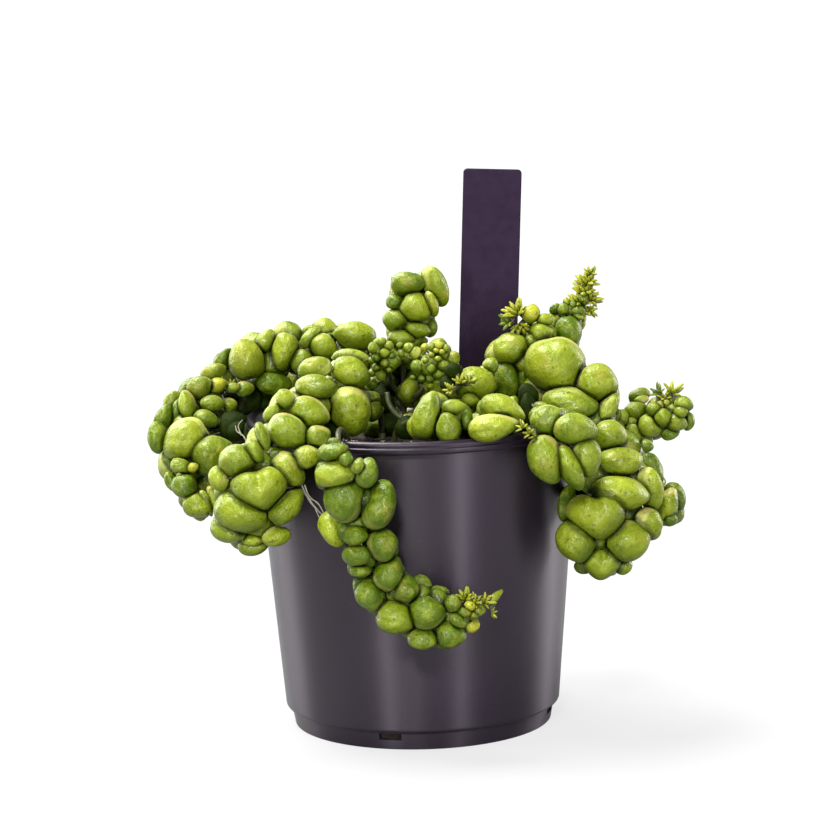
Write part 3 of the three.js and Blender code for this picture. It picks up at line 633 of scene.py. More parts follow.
def deep_leaf_material():
    """A leaf in the depth of a strand, coloured near black: painted shade for the shade of the others."""
    paint = Paint("leaf_in_shade")
    green = paint.mix(paint.noise(260.0, 5.0, 0.65), (0.002, 0.005, 0.0003), (0.012, 0.022, 0.0008))
    skin = paint.bump(paint.noise(330.0, 5.0, 0.65), 0.0006)
    paint.set(Base_Color=green, Roughness=0.6, Normal=skin)
    paint.set(Specular_IOR_Level=0.10, Specular_Tint=(0.8, 1.0, 0.4))
    return paint.material


def stem_material():
    paint = Paint("stem")
    tone = paint.mix(paint.noise(500.0, 4.0), (0.018, 0.024, 0.005), (0.060, 0.062, 0.018))
    skin = paint.bump(paint.noise(900.0, 4.0, 0.7), 0.0003)
    paint.set(Base_Color=tone, Roughness=0.38, Normal=skin)
    return paint.material


def root_material():
    paint = Paint("aerial_root")
    tone = paint.mix(paint.noise(700.0, 3.0), (0.14, 0.13, 0.08), (0.46, 0.44, 0.36))
    skin = paint.bump(paint.noise(1800.0, 3.0), 0.0002)
    paint.set(Base_Color=tone, Roughness=0.65, Normal=skin)
    return paint.material


def pot_material(name, brushed, gloss):
    """Satin black plastic with a purple cast: fine skin, faint streaks down the wall, scuffs and dust."""
    paint = Paint(name)
    broad = paint.noise(14.0, 3.0, stretch=(1, 1, 0.25))
    tone = paint.mix(paint.span(broad, 0.35, 0.65), (0.0050, 0.0030, 0.0062), (0.0110, 0.0065, 0.0140))
    dust = paint.span(paint.noise(260.0, 6.0, 0.7), 0.62, 0.80, 0.0, 0.10)
    tone = paint.mix(dust, tone, (0.12, 0.11, 0.12))
    scuff = paint.span(paint.noise(520.0, 4.0, 0.7, stretch=(1, 1, 0.6)), 0.66, 0.72)
    scuff = paint.times(scuff, paint.span(paint.noise(22.0, 2.0), 0.55, 0.66, 0.0, 0.30))
    tone = paint.mix(scuff, tone, (0.17, 0.16, 0.18))
    streak = paint.noise(60.0, 4.0, 0.6, stretch=(1, 1, 0.06))
    rough = paint.span(streak, 0.3, 0.7, 0.31, 0.40)
    skin = paint.bump(paint.noise(2600.0, 2.0), 0.00003)
    skin = paint.bump(streak, 0.0005, 0.08, onto=skin)
    paint.set(Base_Color=tone, Roughness=rough, Normal=skin)
    paint.set(Specular_IOR_Level=gloss, Specular_Tint=(1.0, 0.87, 1.0))
    paint.set(Anisotropic=brushed, Anisotropic_Rotation=0.25)
    return paint.material


def label_material():
    paint = Paint("label_plastic")
    tone = paint.mix(paint.noise(35.0, 3.0), (0.008, 0.003, 0.013), (0.012, 0.005, 0.020))
    rough = paint.span(paint.noise(300.0, 5.0), 0.3, 0.7, 0.36, 0.50)
    skin = paint.bump(paint.noise(1500.0, 3.0), 0.00003)
    paint.set(Base_Color=tone, Roughness=rough, Normal=skin)
    paint.set(Specular_IOR_Level=0.31, Specular_Tint=(0.92, 0.70, 1.0))
    return paint.material


def soil_material():
    paint = Paint("potting_mix")
    grain = paint.noise(420.0, 6.0, 0.7)
    tone = paint.mix(paint.span(grain, 0.35, 0.65), (0.006, 0.004, 0.003), (0.040, 0.026, 0.016))
    tone = paint.mix(paint.span(paint.cells(300.0), 0.0, 0.12, 0.5, 0.0), tone, (0.20, 0.16, 0.11))
    skin = paint.bump(grain, 0.0012)
    paint.set(Base_Color=tone, Roughness=0.92, Normal=skin)
    return paint.material


# Meshes.


def unit(v):
    return v / np.linalg.norm(v)


def make_object(name, vertices, faces, materials, face_materials=None, marks=None):
    """A smooth-shaded object from vertices in millimetres. Marks are its numbers for each vertex."""
    mesh = bpy.data.meshes.new(name)
    mesh.from_pydata([tuple(v) for v in np.asarray(vertices) * MM], [], faces)
    for material in materials:
        mesh.materials.append(material)
    if face_materials is not None:
        mesh.polygons.foreach_set("material_index", np.asarray(face_materials, np.int32))
    for key, values in (marks or {}).items():
        layer = mesh.attributes.new(key, "FLOAT", "POINT")
        layer.data.foreach_set("value", np.asarray(values, np.float32))
    mesh.polygons.foreach_set("use_smooth", np.ones(len(faces), bool))
    mesh.update()
    return link(bpy.data.objects.new(name, mesh))


class Heap:
    """Gathers vertices, faces, their materials and their marks into one mesh."""

    # The low mark is painted shade on a leaf's lower side and round the leaves that touch it.
    KEYS = ("tint", "ripe", "lip", "crease", "spot", "low")

    def __init__(self):
        self.vertices, self.faces, self.materials = [], [], []
        self.marks = {key: [] for key in self.KEYS}
        self.count = 0

    def add(self, vertices, faces, material=0, **marks):
        self.vertices.append(vertices)
        self.faces.extend([tuple(i + self.count for i in face) for face in faces])
        self.materials.extend([material] * len(faces))
        for key in self.KEYS:
            self.marks[key].append(np.broadcast_to(marks.get(key, 0.0), len(vertices)))
        self.count += len(vertices)

    def build(self, name, materials):
        marks = {key: np.concatenate(parts) for key, parts in self.marks.items()}
        return make_object(name, np.concatenate(self.vertices), self.faces, materials, self.materials, marks)


# Where the leaves are.


def seeded_draw(seed):
    state = seed

    def draw():
        nonlocal state
        state = (state + 0x6D2B79F5) & 0xFFFFFFFF
        t = ((state ^ (state >> 15)) * (1 | state)) & 0xFFFFFFFF
        t ^= (t + (((t ^ (t >> 7)) * (61 | t)) & 0xFFFFFFFF)) & 0xFFFFFFFF
        return ((t ^ (t >> 14)) & 0xFFFFFFFF) / 4294967296

    return draw


def curve_point(points, place):
    """The point at a place along a smooth curve through points, counted in points from its start."""
    i = min(int(place), len(points) - 2)
    t = place - i
    p1, p2 = points[i], points[i + 1]
    p0 = points[i - 1] if i else 2 * p1 - p2
    p3 = points[i + 2] if i + 2 < len(points) else 2 * p2 - p1
    t0, t1 = 0.5 * (p2 - p0), 0.5 * (p3 - p1)
    return p1 + t0 * t + (3 * (p2 - p1) - 2 * t0 - t1) * t**2 + (2 * (p1 - p2) + t0 + t1) * t**3


def curve_through(points, steps):
    """Points along the same curve, with a number of steps from each point to the next."""
    return [curve_point(points, i / steps) for i in range(steps * (len(points) - 1) + 1)]


def samples_along(path):
    """Samples of distance, point, size, direction and side along a path."""
    line = curve_through([np.array(p[:3], float) for p in path], CURVE_STEPS)
    count = len(line) - 1
    places = [i / CURVE_STEPS for i in range(count + 1)]
    sizes = np.interp(places, range(len(path)), [p[3] for p in path])
    samples, side, at = [], np.array((0, -1, 0.3)), 0.0
    for i, point in enumerate(line):
        at += np.linalg.norm(point - line[i - 1]) if i else 0.0
        along = unit(line[min(i + 1, count)] - line[max(i - 1, 0)])
        side = unit(side - side.dot(along) * along)
        samples.append({"at": at, "point": point, "size": sizes[i], "along": along, "side": side})
    return samples


def sample_at(samples, at):
    """The sample at a distance, mixed from those before and after it."""
    i = 1
    while i < len(samples) - 1 and samples[i]["at"] < at:
        i += 1
    before, after = samples[i - 1], samples[i]
    share = (at - before["at"]) / (after["at"] - before["at"])
    mixed = {key: before[key] + share * (after[key] - before[key]) for key in ("point", "size")}
    return {**mixed, "along": after["along"], "side": after["side"]}


def out_from(sample, turn):
    """The direction straight out of the stem, at a turn round it."""
    across = np.cross(sample["along"], sample["side"])
    return math.cos(turn) * sample["side"] + math.sin(turn) * across


def leaf_frame(sample, turn, spread, face):
    """One leaf's frame: it leaves the stem by the angle of spread, with its dome to the outside."""
    along, point = sample["along"], sample["point"]
    out = out_from(sample, turn)
    length = math.cos(spread) * along + math.sin(spread) * out
    outward = np.append(unit(point[:2]), 0.35)
    up = (1 - face) * (math.cos(spread) * out - math.sin(spread) * along) + face * outward
    up = unit(up - up.dot(length) * length)
    return {"base": point + SINK * length, "across": np.cross(length, up), "length": length, "up": up}


def leaf_outline(angle):
    """The outline of a leaf of width and length 1, at an angle from its base."""
    tip = 0.05 * np.maximum(0, -np.cos(angle)) ** 6
    bulge = 1 - 0.06 * np.sin(angle) ** 2
    return 0.5 * np.sin(angle), 0.48 - 0.5 * np.cos(angle) * bulge + tip


def in_row_frame(leaf, x, y, z):
    """Points of a leaf of width, length and height 1, in the size and place of a leaf."""
    across, length, up = (leaf[key] for key in ("across", "length", "up"))
    x, y, z = x * leaf["width"], y * leaf["long"], z * leaf["high"]
    return leaf["base"] + np.outer(x, across) + np.outer(y, length) + np.outer(z, up)


def wall_radius(z):
    """The outer radius of the pot's wall at a height."""
    rise = (z - FOOT_HEIGHT) / (RIM_FOOT - FOOT_HEIGHT)
    return WALL_BOTTOM_RADIUS + (WALL_TOP_RADIUS - WALL_BOTTOM_RADIUS) * rise


def is_taken(p):
    """Whether a point lies in the pot, the soil or the label, or closer to them than a margin."""
    x, y, z = p
    if z < MARGIN:
        return True
    label_x = LABEL_FOOT[0] + (z - LABEL_FOOT[2]) * math.tan(LABEL_LEAN)
    over_label = abs(x - label_x) < LABEL_WIDTH / 2 + MARGIN and z < LABEL_TOP
    if over_label and abs(y - LABEL_FOOT[1]) < LABEL_THICKNESS / 2 + MARGIN:
        return True
    if z > POT_HEIGHT + MARGIN:
        return False
    r = math.hypot(x, y)
    beside_rim = z > RIM_FOOT - MARGIN
    if r > (RIM_RADIUS if beside_rim else wall_radius(z)) + MARGIN:
        return False
    return r > wall_radius(z) - WALL - MARGIN or z < SOIL_TOP + SOIL_ROUGHNESS + MARGIN


def leaf_is_clear(leaf):
    """Whether the outer part of a leaf keeps clear of the pot, the soil and the label."""
    points = [(0, 0.5, 1)]
    for i in range(1, 8):
        x, y = leaf_outline(i / 8 * 2 * math.pi)
        if y >= 0.3:
            points += [(x, y, 0), (0.7 * x, 0.5 + 0.7 * (y - 0.5), 0.75)]
    return not any(is_taken(p) for p in in_row_frame(leaf, *np.array(points).T))


def faces_pot(sample, turn):
    """Whether a leaf of a hanging stem would grow into the pot's wall."""
    x, y, z = sample["point"]
    away = np.array((x, y, 0))
    if np.linalg.norm(away) < RIM_RADIUS or z > POT_HEIGHT + 4:
        return False
    return out_from(sample, turn).dot(unit(away)) < FACES_POT


def leaves_along(path, rule, draw):
    """Leaves in opposite pairs along a path, each pair a quarter turn on, or all in one plane."""
    samples = samples_along(path)
    length = samples[-1]["at"]
    leaves = []
    at, turn = rule.get("bare", BARE_START), rule.get("turn", TURN)
    while at < length:
        sample = sample_at(samples, at)
        openness = 0.55 + 0.45 * min(1, (length - at) / (1.5 * sample["size"]))
        for half in (0, math.pi):
            jitter = [2 * draw() - 1 for _ in range(4)]
            width = FULLNESS * sample["size"] * (1 + SIZE_JITTER * jitter[0])
            around = turn + half + TURN_JITTER * jitter[1]
            spread = openness * SPREAD + SPREAD_JITTER * jitter[2]
            plump = 1.05 + PLUMP_JITTER * jitter[3]
            if faces_pot(sample, around):
                continue
            for fold, shrink in WAYS_TO_FOLD:
                leaf = leaf_frame(sample, around, spread * fold, rule.get("face", FACE))
                leaf["width"] = width * shrink
                leaf["long"] = leaf["width"] * LEAF_LENGTH
                leaf["high"] = leaf["width"] * plump * LEAF_HEIGHT
                if leaf_is_clear(leaf):
                    leaves.append(leaf)
                    break
        at += max(LEAST_PITCH, sample["size"] * rule.get("pitch", PITCH))
        turn += 0 if rule.get("ranks") == 2 else math.pi / 2
    return leaves


def leaves_between(path, rule, draw):
    """Small leaves that fill in between the pairs."""
    samples = samples_along(path)
    length = samples[-1]["at"]
    leaves = []
    at, turn = rule.get("bare", BARE_START) + 3, rule.get("turn", TURN) + math.pi / 4
    while at < length - 4:
        sample = sample_at(samples, at)
        for half in (0, math.pi):
            around = turn + half + 0.5 * (draw() - 0.5)
            size = sample["size"] * (BETWEEN_SIZE + 0.25 * draw())
            leaf = leaf_frame(sample, around, SPREAD + 0.1, rule.get("face", FACE))
            leaf["width"] = size
            leaf["long"] = size * 0.9
            leaf["high"] = size * 0.5
            if not faces_pot(sample, around) and leaf_is_clear(leaf):
                leaves.append(leaf)
        at += max(LEAST_PITCH, sample["size"] * rule.get("pitch", PITCH))
        turn += math.pi / 2
    return leaves


def seen(point):
    """Where the front view shows a point, and how much nearer than the target it is."""
    away = point - TARGET
    near = away @ NEARER
    return np.array((away @ RIGHT, away @ RISE)) * DISTANCE / (DISTANCE - near), near


def place_seen(spot, near):
    """The point that the front view shows at a spot, this much nearer than the target."""
    return TARGET + (spot[0] * RIGHT + spot[1] * RISE) * (DISTANCE - near) / DISTANCE + near * NEARER


def front_leaf(samples, row, draw):
    """A leaf that shows from the front, laid on the outside of its stem's rope of leaves."""
    words = row[5].split() if len(row) > 5 else []
    spot, angle = np.array(row[:2]), math.radians(row[4])
    long, wide = FRONT_GROWTH * row[2], FRONT_GROWTH * row[3]
    views = [seen(sample["point"]) for sample in samples]
    gaps = [np.linalg.norm(spot - view) / (3 + s["size"]) for (view, _), s in zip(views, samples)]
    closest = int(np.argmin(gaps))
    sample, (middle, near) = samples[closest], views[closest]
    radius = sample["size"]
    lean = (spot - middle) / radius
    lean /= max(1, np.linalg.norm(lean))
    level = math.sqrt(1 - 0.9 * lean @ lean)
    tip = math.cos(angle) * RIGHT + math.sin(angle) * RISE
    up = 0.85 * (lean[0] * RIGHT + lean[1] * RISE) + level * NEARER
    high = 0.5 * (0.4 * long + 0.6 * wide)
    if "shell" in words:
        high *= SHELL_HEIGHT
    if "tuft" in words:
        up = up + 0.9 * (draw() - 0.5) * np.cross(NEARER, tip)
        tip = tip + 1.1 * (draw() - 0.5) * NEARER
        high = 0.45 * wide
        level *= 0.5 + 0.5 * draw()
    if "behind" in words:
        level -= BEHIND_DROP
    if "deep" in words:
        level = DEEP_LEVEL
    up, tip = unit(up), unit(tip)
    tip = unit(tip - tip.dot(up) * up)
    near += radius * level - 0.6 * high
    leaf = {"across": np.cross(tip, up), "length": tip, "up": up, "width": wide, "long": long, "high": high}
    for _ in range(FRONT_TRIES):
        leaf["base"] = place_seen(spot, near) - 0.5 * long * tip
        if leaf_is_clear(leaf):
            break
        near += 1
    reach = 0.5 * abs(long * tip[1]) + 0.5 * abs(wide * leaf["across"][1]) + high * max(0, -up[1])
    front = leaf["base"][1] + 0.5 * long * tip[1] - reach
    leaf["base"] = leaf["base"] + (0, max(0, cad_box[0][1] / MM - FRONT_ROOM - front), 0)
    leaf.update(root=sample["point"], words=words)
    leaf["view"] = (*spot, near, 0.5 * row[2], 0.5 * row[3], angle)
    return leaf


def front_burst(samples, row):
    """A tuft of narrow pointed leaves all round one place."""
    spot, angle = np.array(row[:2]), math.radians(row[4])
    views = [seen(sample["point"]) for sample in samples]
    closest = int(np.argmin([np.linalg.norm(spot - view) for view, _ in views]))
    near = views[closest][1] + TUFT_PROUD
    centre = place_seen(spot, near)
    words = [*row[5].split(), "tuft"]
    axis = unit(math.cos(angle) * RIGHT + math.sin(angle) * RISE + 0.3 * NEARER)
    side = unit(np.cross(axis, NEARER))
    leaves = []
    for k in range(row[3]):
        lean = TUFT_LEAN * math.sqrt((k + 0.5) / row[3])
        ring = math.cos(k * GOLDEN_TURN) * side + math.sin(k * GOLDEN_TURN) * np.cross(axis, side)
        tip = math.cos(lean) * axis + math.sin(lean) * ring
        up = unit(np.cross(np.cross(tip, axis + 0.1 * ring), tip))
        long = row[2] * (1.1 - 0.15 * (k % 3))
        wide = TUFT_WIDTH * long
        leaf = {"across": np.cross(tip, up), "length": tip, "up": up, "width": wide, "long": long}
        leaf.update(high=0.4 * wide, base=centre, words=words, root=samples[closest]["point"])
        leaf["view"] = (*spot, near, 0.5 * long, 0.5 * wide, angle)
        leaves.append(leaf)
    return leaves


def is_behind(leaf, views):
    """Whether the leaves that show from the front hide a leaf there."""
    turns = np.arange(12) / 12 * 2 * math.pi
    x, y = leaf_outline(turns)
    points = in_row_frame(leaf, np.append(x, 0), np.append(y, 0.5), np.append(0 * x, 1))
    showing = 0
    for point in points:
        spot, near = seen(point)
        away = spot - views[:, :2]
        cos, sin = np.cos(views[:, 5]), np.sin(views[:, 5])
        along = (away[:, 0] * cos + away[:, 1] * sin) / (views[:, 3] + EDGE_ROOM)
        aside = (away[:, 1] * cos - away[:, 0] * sin) / (views[:, 4] + EDGE_ROOM)
        showing += not np.any((along**2 + aside**2 < 1) & (views[:, 2] > near - BURIED))
    return showing < 2


def behind_front(leaves, views):
    """Leaves of the rule, drawn in behind those that show from the front, or left out."""
    kept = []
    for leaf in leaves:
        for shrink in WAYS_TO_SHRINK:
            for key in ("width", "long", "high"):
                leaf[key] *= shrink
            if is_behind(leaf, views):
                kept.append(leaf)
                break
    return kept


# The shape of a leaf: a plump pebble, with a thin lip round some.


def leaf_grid(segments, rings):
    """The kind and bend of each row of a leaf's grid, the angle of each vertex, and the faces."""
    rows = [("top", bend) for bend in np.arange(1, rings + 1) / rings]
    rows += [("lip", 0.0)] + [("under", bend) for bend in (0.25, 0.5, 0.78)]
    angles = np.tile(np.arange(segments) / segments * 2 * math.pi, len(rows))
    faces = []
    for i in range(segments):
        j = (i + 1) % segments
        faces.append((0, 1 + i, 1 + j))
        for row in range(len(rows) - 1):
            a, b = 1 + row * segments, 1 + (row + 1) * segments
            faces.append((a + i, b + i, b + j, a + j))
        last = 1 + (len(rows) - 1) * segments
        faces.append((last + i, 1 + len(rows) * segments, last + j))
    return rows, angles, faces


GRIDS = [
    (12, leaf_grid(40, 13)),
    (7, leaf_grid(28, 9)),
    (4, leaf_grid(20, 7)),
    (0, leaf_grid(12, 5)),
]

EDGE_DEPTH = 0.03


def leaf_profile(rows, leaf):
    """How far out and how high each row of the grid is, and how much it belongs to the leaf's edge, which
    takes the pale lip and its painted rim highlight.
    """
    reach, height, edge = [], [], []
    for kind, bend in rows:
        cos, sin = max(math.cos(bend * math.pi / 2), 0), math.sin(bend * math.pi / 2)
        if kind == "top":
            reach.append(sin ** leaf["boxy"])
            height.append(cos ** leaf["boxy"])
            edge.append(min(1, max(0, (reach[-1] - 0.85) / 0.08)))
        elif kind == "lip":
            reach.append(1 + leaf["lip"])
            height.append(-EDGE_DEPTH)
            edge.append(1.0)
        else:
            reach.append(cos**0.8)
            height.append(-EDGE_DEPTH - leaf["under"] * sin**0.9)
            edge.append(0.0)
    return np.array(reach), np.array(height), np.array(edge)


def heart_outline(leaf, angles, reach):
    """The outline with the leaf's own point, lobes and notch, of which the inner rows have less."""
    x, y = leaf_outline(angles)
    off_base = np.where(angles > math.pi, angles - 2 * math.pi, angles)
    x *= 1 - leaf["point"] * 0.5 * np.abs(np.cos(angles)) ** 1.5
    x *= 1 + leaf["lobes"] * np.exp(-(((np.abs(off_base) - 0.85) / 0.5) ** 2))
    y += leaf["notch"] * np.exp(-((off_base / 0.42) ** 2)) * reach
    return x, y


def swelling(x, y, draw):
    """Slow swells across a leaf, with lower and finer ones on them."""
    swell = 0
    for waves_x, waves_y, strength in ((7, 6, 1), (15, 13, 0.5), (27, 24, 0.25)):
        across = strength * np.sin(waves_x * x + ANY_TURN * draw())
        swell = swell + across * np.sin(waves_y * y + ANY_TURN * draw())
    return swell


def leaf_marks(leaf, points, angles, reach, edge, draw):
    """Each vertex's share of the pale lip, which is partly a painted rim highlight along one side of the
    edge, of the brown spot, and of painted shade on the leaf's lower side.
    """
    # This turn points to the leaf's upper side; the painted shade goes on the side opposite it.
    turn = math.atan2(leaf["across"][2], -leaf["length"][2]) + 1.6 * (draw() - 0.5)
    low = np.clip(0.45 - 0.75 * np.cos(angles - turn), 0, 1) * np.clip(reach, 0, 1) ** 2
    lip = edge * np.clip(0.25 + 0.85 * np.cos(angles - (turn + leaf["lip_turn"])), 0, 1)
    middle = np.array((0.5 * draw() - 0.25, 0.3 + 0.4 * draw()))
    spot = leaf["tan"] + leaf["spot"] * np.exp(-(((points[:, :2] - middle) / 0.17) ** 2).sum(axis=1))
    return {
        "lip": leaf["pale_lip"] * np.concatenate(([0], lip, [0])),
        "spot": spot * (points[:, 2] > 0),
        "low": 0.7 * np.concatenate(([0], low, [1])),
    }


def shape_leaf(leaf, draw):
    """Vertices of a leaf in the row frame, its faces, and its marks."""
    rows, angles, faces = next(grid for width, grid in GRIDS if max(leaf["width"], leaf["long"]) >= width)
    segments = len(angles) // len(rows)
    reach, height, edge = (np.repeat(values, segments) for values in leaf_profile(rows, leaf))
    x, y = heart_outline(leaf, angles, reach)
    ripple = sum(0.022 / m**0.5 * np.sin(m * angles + ANY_TURN * draw()) for m in (2, 3, 5))
    x, y = reach * x * (1 + ripple), 0.5 + reach * (y - 0.5) * (1 + ripple)
    top = height > 0.001
    groove = leaf["groove"] * np.exp(-((x / 0.085) ** 2)) * np.clip((0.72 - y) / 0.6, 0, 1)
    keel = leaf["keel"] * np.exp(-((x / 0.13) ** 2))
    z = height + np.where(top, height * (keel - groove), 0)
    z += np.where(top, 0.045 * swelling(x, y, draw) * height, 0)
    z -= leaf["clasp"] * (1.3 * x**2 + 0.7 * (y - 0.5) ** 2)
    x += leaf["skew"] * (y - 0.5) * np.abs(y - 0.5)
    crown = np.array((0.0, 0.5, 1 + leaf["keel"] - leaf["groove"] * 0.36))
    pit = np.array((0.0, 0.5, -EDGE_DEPTH - leaf["under"]))
    points = np.vstack((crown, np.column_stack((x, y, z)), pit))
    return in_row_frame(leaf, *points.T), faces, leaf_marks(leaf, points, angles, reach, edge, draw)


def finish_leaf(leaf, draw):
    """Draws what the frame's solids leave out: the heart shape, groove, lip, skew and colours of a leaf."""
    words = leaf.get("words", [])
    small = leaf["width"] < SMALL_LEAF
    leaf["boxy"] = 0.74 + 0.18 * draw()
    leaf["lip"] = 0.035 * max(0, draw() - 0.55) / 0.45
    leaf["under"] = 0.45 + 0.2 * draw()
    leaf["notch"] = (0.03 if small else 0.08) * draw() + 0.01
    leaf["lobes"] = 0.08 * draw()
    leaf["groove"] = (0.08 if small else 0.20) * max(0, draw() - 0.45)
    leaf["keel"] = 0.10 * max(0, draw() - 0.5)
    leaf["point"] = 0.20 * draw()
    leaf["clasp"] = 0.20 + 0.30 * draw()
    leaf["skew"] = 0.24 * (draw() - 0.5)
    leaf["tint"] = leaf["pale"] + 0.6 * draw()
    leaf["ripe"] = max(0, draw() - 0.9) * 3
    leaf["tan"] = max(0, draw() - 0.95) * 5
    leaf["spot"] = 1.0 if draw() < 0.16 else 0.0
    leaf["pale_lip"] = 0.30 + 0.55 * draw()
    if "heart" in words:
        leaf.update(notch=0.17, lobes=0.13, groove=0.32, point=0.3, keel=0, under=0.4)
    if "shell" in words:
        leaf.update(under=0.05, lip=0.05, pale_lip=1.0)
    if "tuft" in words:
        leaf.update(point=0.9, boxy=0.95, notch=0, lobes=0, groove=0, under=0.5, pale_lip=0.1, spot=0)
        leaf["ripe"] = 0.25 + 0.75 * draw()
    if "pale" in words:
        leaf.update(tint=0.95, pale_lip=1.0, lip=0.03)
    # Dark leaves: the darkest green and little pale lip, painted shade for leaves that sit in shade.
    if "dark" in words:
        leaf.update(tint=0.0, ripe=0.0, pale_lip=0.1)
    if "ripe" in words:
        leaf["ripe"] = 0.75
    if "tan" in words:
        leaf["tan"] = 0.6
    if "spot" in words:
        leaf["spot"] = 1.0


def pressing(leaf, points):
    """How far points are from a leaf: 1 on its skin, less within it."""
    local = points - leaf["base"]
    x = local @ leaf["across"] / (0.5 * leaf["width"])
    y = (local @ leaf["length"] / leaf["long"] - 0.5) / 0.5
    z = local @ leaf["up"] / leaf["high"]
    z = np.where(z < 0, -z / max(leaf["under"], 0.15), z)
    flat = np.sqrt(x**2 + y**2)
    return (flat**2.5 + z**2.5) ** 0.4


def press_leaves(leaves, shapes):
    """Where two leaves touch, both draw back into a rounded groove. Returns the vertices, and the marks of
    painted shade: a near-black line where the leaves meet, and broader shade round it."""
    middles = np.array([leaf["base"] + 0.5 * leaf["long"] * leaf["length"] for leaf in leaves])
    reaches = np.array([0.75 * max(leaf["width"], leaf["long"], leaf["high"]) for leaf in leaves])
    creases, moved = [], []
    for i, (leaf, vertices) in enumerate(zip(leaves, shapes)):
        near = np.linalg.norm(middles - middles[i], axis=1) < reaches + reaches[i]
        closest = np.full(len(vertices), np.inf)
        crease, shade = np.zeros(len(vertices)), np.zeros(len(vertices))
        for j in np.flatnonzero(near):
            if j == i:
                continue
            gap = pressing(leaves[j], vertices)
            above = (middles[j] + 0.35 * leaves[j]["high"] * leaves[j]["up"] - vertices) @ leaf["up"]
            closest = np.minimum(closest, gap)
            if "view" in leaf and "view" not in leaves[j]:
                continue
            lower = np.clip(0.5 + above / (0.3 * leaves[j]["high"]), 0, 1)
            shaded = np.clip((SHADE_START - gap) / SHADE_RUN, 0, 1)
            creased = np.clip((CREASE_SHADE_START - gap) / CREASE_SHADE_RUN, 0, 1)
            shade = np.maximum(shade, (0.1 + 0.8 * lower) * shaded)
            crease = np.maximum(crease, (0.6 + 0.4 * lower) * creased)
        drawn = np.clip((PRESS_START - closest) / PRESS_RUN, 0, 1)
        heart = middles[i] + 0.15 * leaf["high"] * leaf["up"]
        moved.append(heart + (vertices - heart) * (1 - PRESS_DEPTH * drawn**1.6)[:, None])
        creases.append((crease, shade))
    return moved, creases


def bands(rings, sides, first=0):
    """The faces between rings of vertices, from a first vertex on."""
    faces = []
    for row in range(rings - 1):
        for k in range(sides):
            a, b = first + row * sides + k, first + row * sides + (k + 1) % sides
            faces.append((a, b, b + sides, a + sides))
    return faces


def circle(r, z, segments):
    """Points round the pot's axis at one height."""
    turns = [k / segments * 2 * math.pi for k in range(segments)]
    return [(r * math.cos(turn), r * math.sin(turn), z) for turn in turns]


def tube(line, radii, sides):
    """Vertices and faces of a closed round tube along a line of points."""
    side = np.array((0.3, -1, 0.2))
    vertices = []
    for i, point in enumerate(line):
        along = unit(line[min(i + 1, len(line) - 1)] - line[max(i - 1, 0)])
        side = unit(side - side.dot(along) * along)
        across = np.cross(along, side)
        for k in range(sides):
            turn = k / sides * 2 * math.pi
            vertices.append(point + radii[i] * (math.cos(turn) * side + math.sin(turn) * across))
    foot, head = tuple(range(sides))[::-1], tuple(range((len(line) - 1) * sides, len(line) * sides))
    return np.array(vertices), [foot, *bands(len(line), sides), head]


def add_stem(heap, path, draw):
    """A stem that tapers along a path."""
    line = curve_through([np.array(p[:3], float) for p in path], 4)
    radii = [STEM_RADIUS - STEM_TAPER * i / (len(line) - 1) + 0.15 * draw() for i in range(len(line))]
    heap.add(*tube(line, radii, STEM_SIDES), 1)


def grow(strand):
    """A strand's stems, the leaves that its rule places and the leaves that show from the front."""
    draw, other = seeded_draw(strand["seed"]), seeded_draw(strand["seed"] + ADDED_SEED)
    stems = [(strand["path"], strand)]
    for start, path in strand.get("branches", []):
        stems.append(([strand["path"][start], *path], {"bare": BRANCH_BARE_START}))
    ruled, front = [], []
    for (path, rule), rows in zip(stems, FRONT.get(strand["name"], [[]] * len(stems))):
        ruled += leaves_along(path, rule, draw) + leaves_between(path, rule, other)
        samples = samples_along(path)
        for row in rows:
            if len(row) > 5 and "burst" in row[5]:
                front += front_burst(samples, row)
            else:
                front.append(front_leaf(samples, row, other))
    paths = [path for path, _ in stems]
    return {"strand": strand, "paths": paths, "ruled": ruled, "front": front, "draw": draw}


def choose_leaves(grown, views):
    """The leaves that a strand keeps, with what varies from leaf to leaf."""
    strand, front, leaves = grown["strand"], grown["front"], grown["ruled"]
    if front:
        tufts = [leaf["base"] for leaf in front if "burst" in leaf["words"]]
        leaves = [leaf for leaf in leaves if all(np.linalg.norm(leaf["base"] - t) > TUFT_ROOM for t in tufts)]
        leaves = behind_front(leaves, views) + front
    for leaf in leaves:
        # Paleness by strand and by height: partly the leaves' own green, partly painted light and shade.
        leaf["pale"] = strand.get("pale", PALE) + np.interp(leaf["base"][2], *PAINTED_LIGHT_BY_HEIGHT)
        leaf["lip_turn"] = strand.get("lip_turn", 0)
        finish_leaf(leaf, grown["draw"])
    return leaves


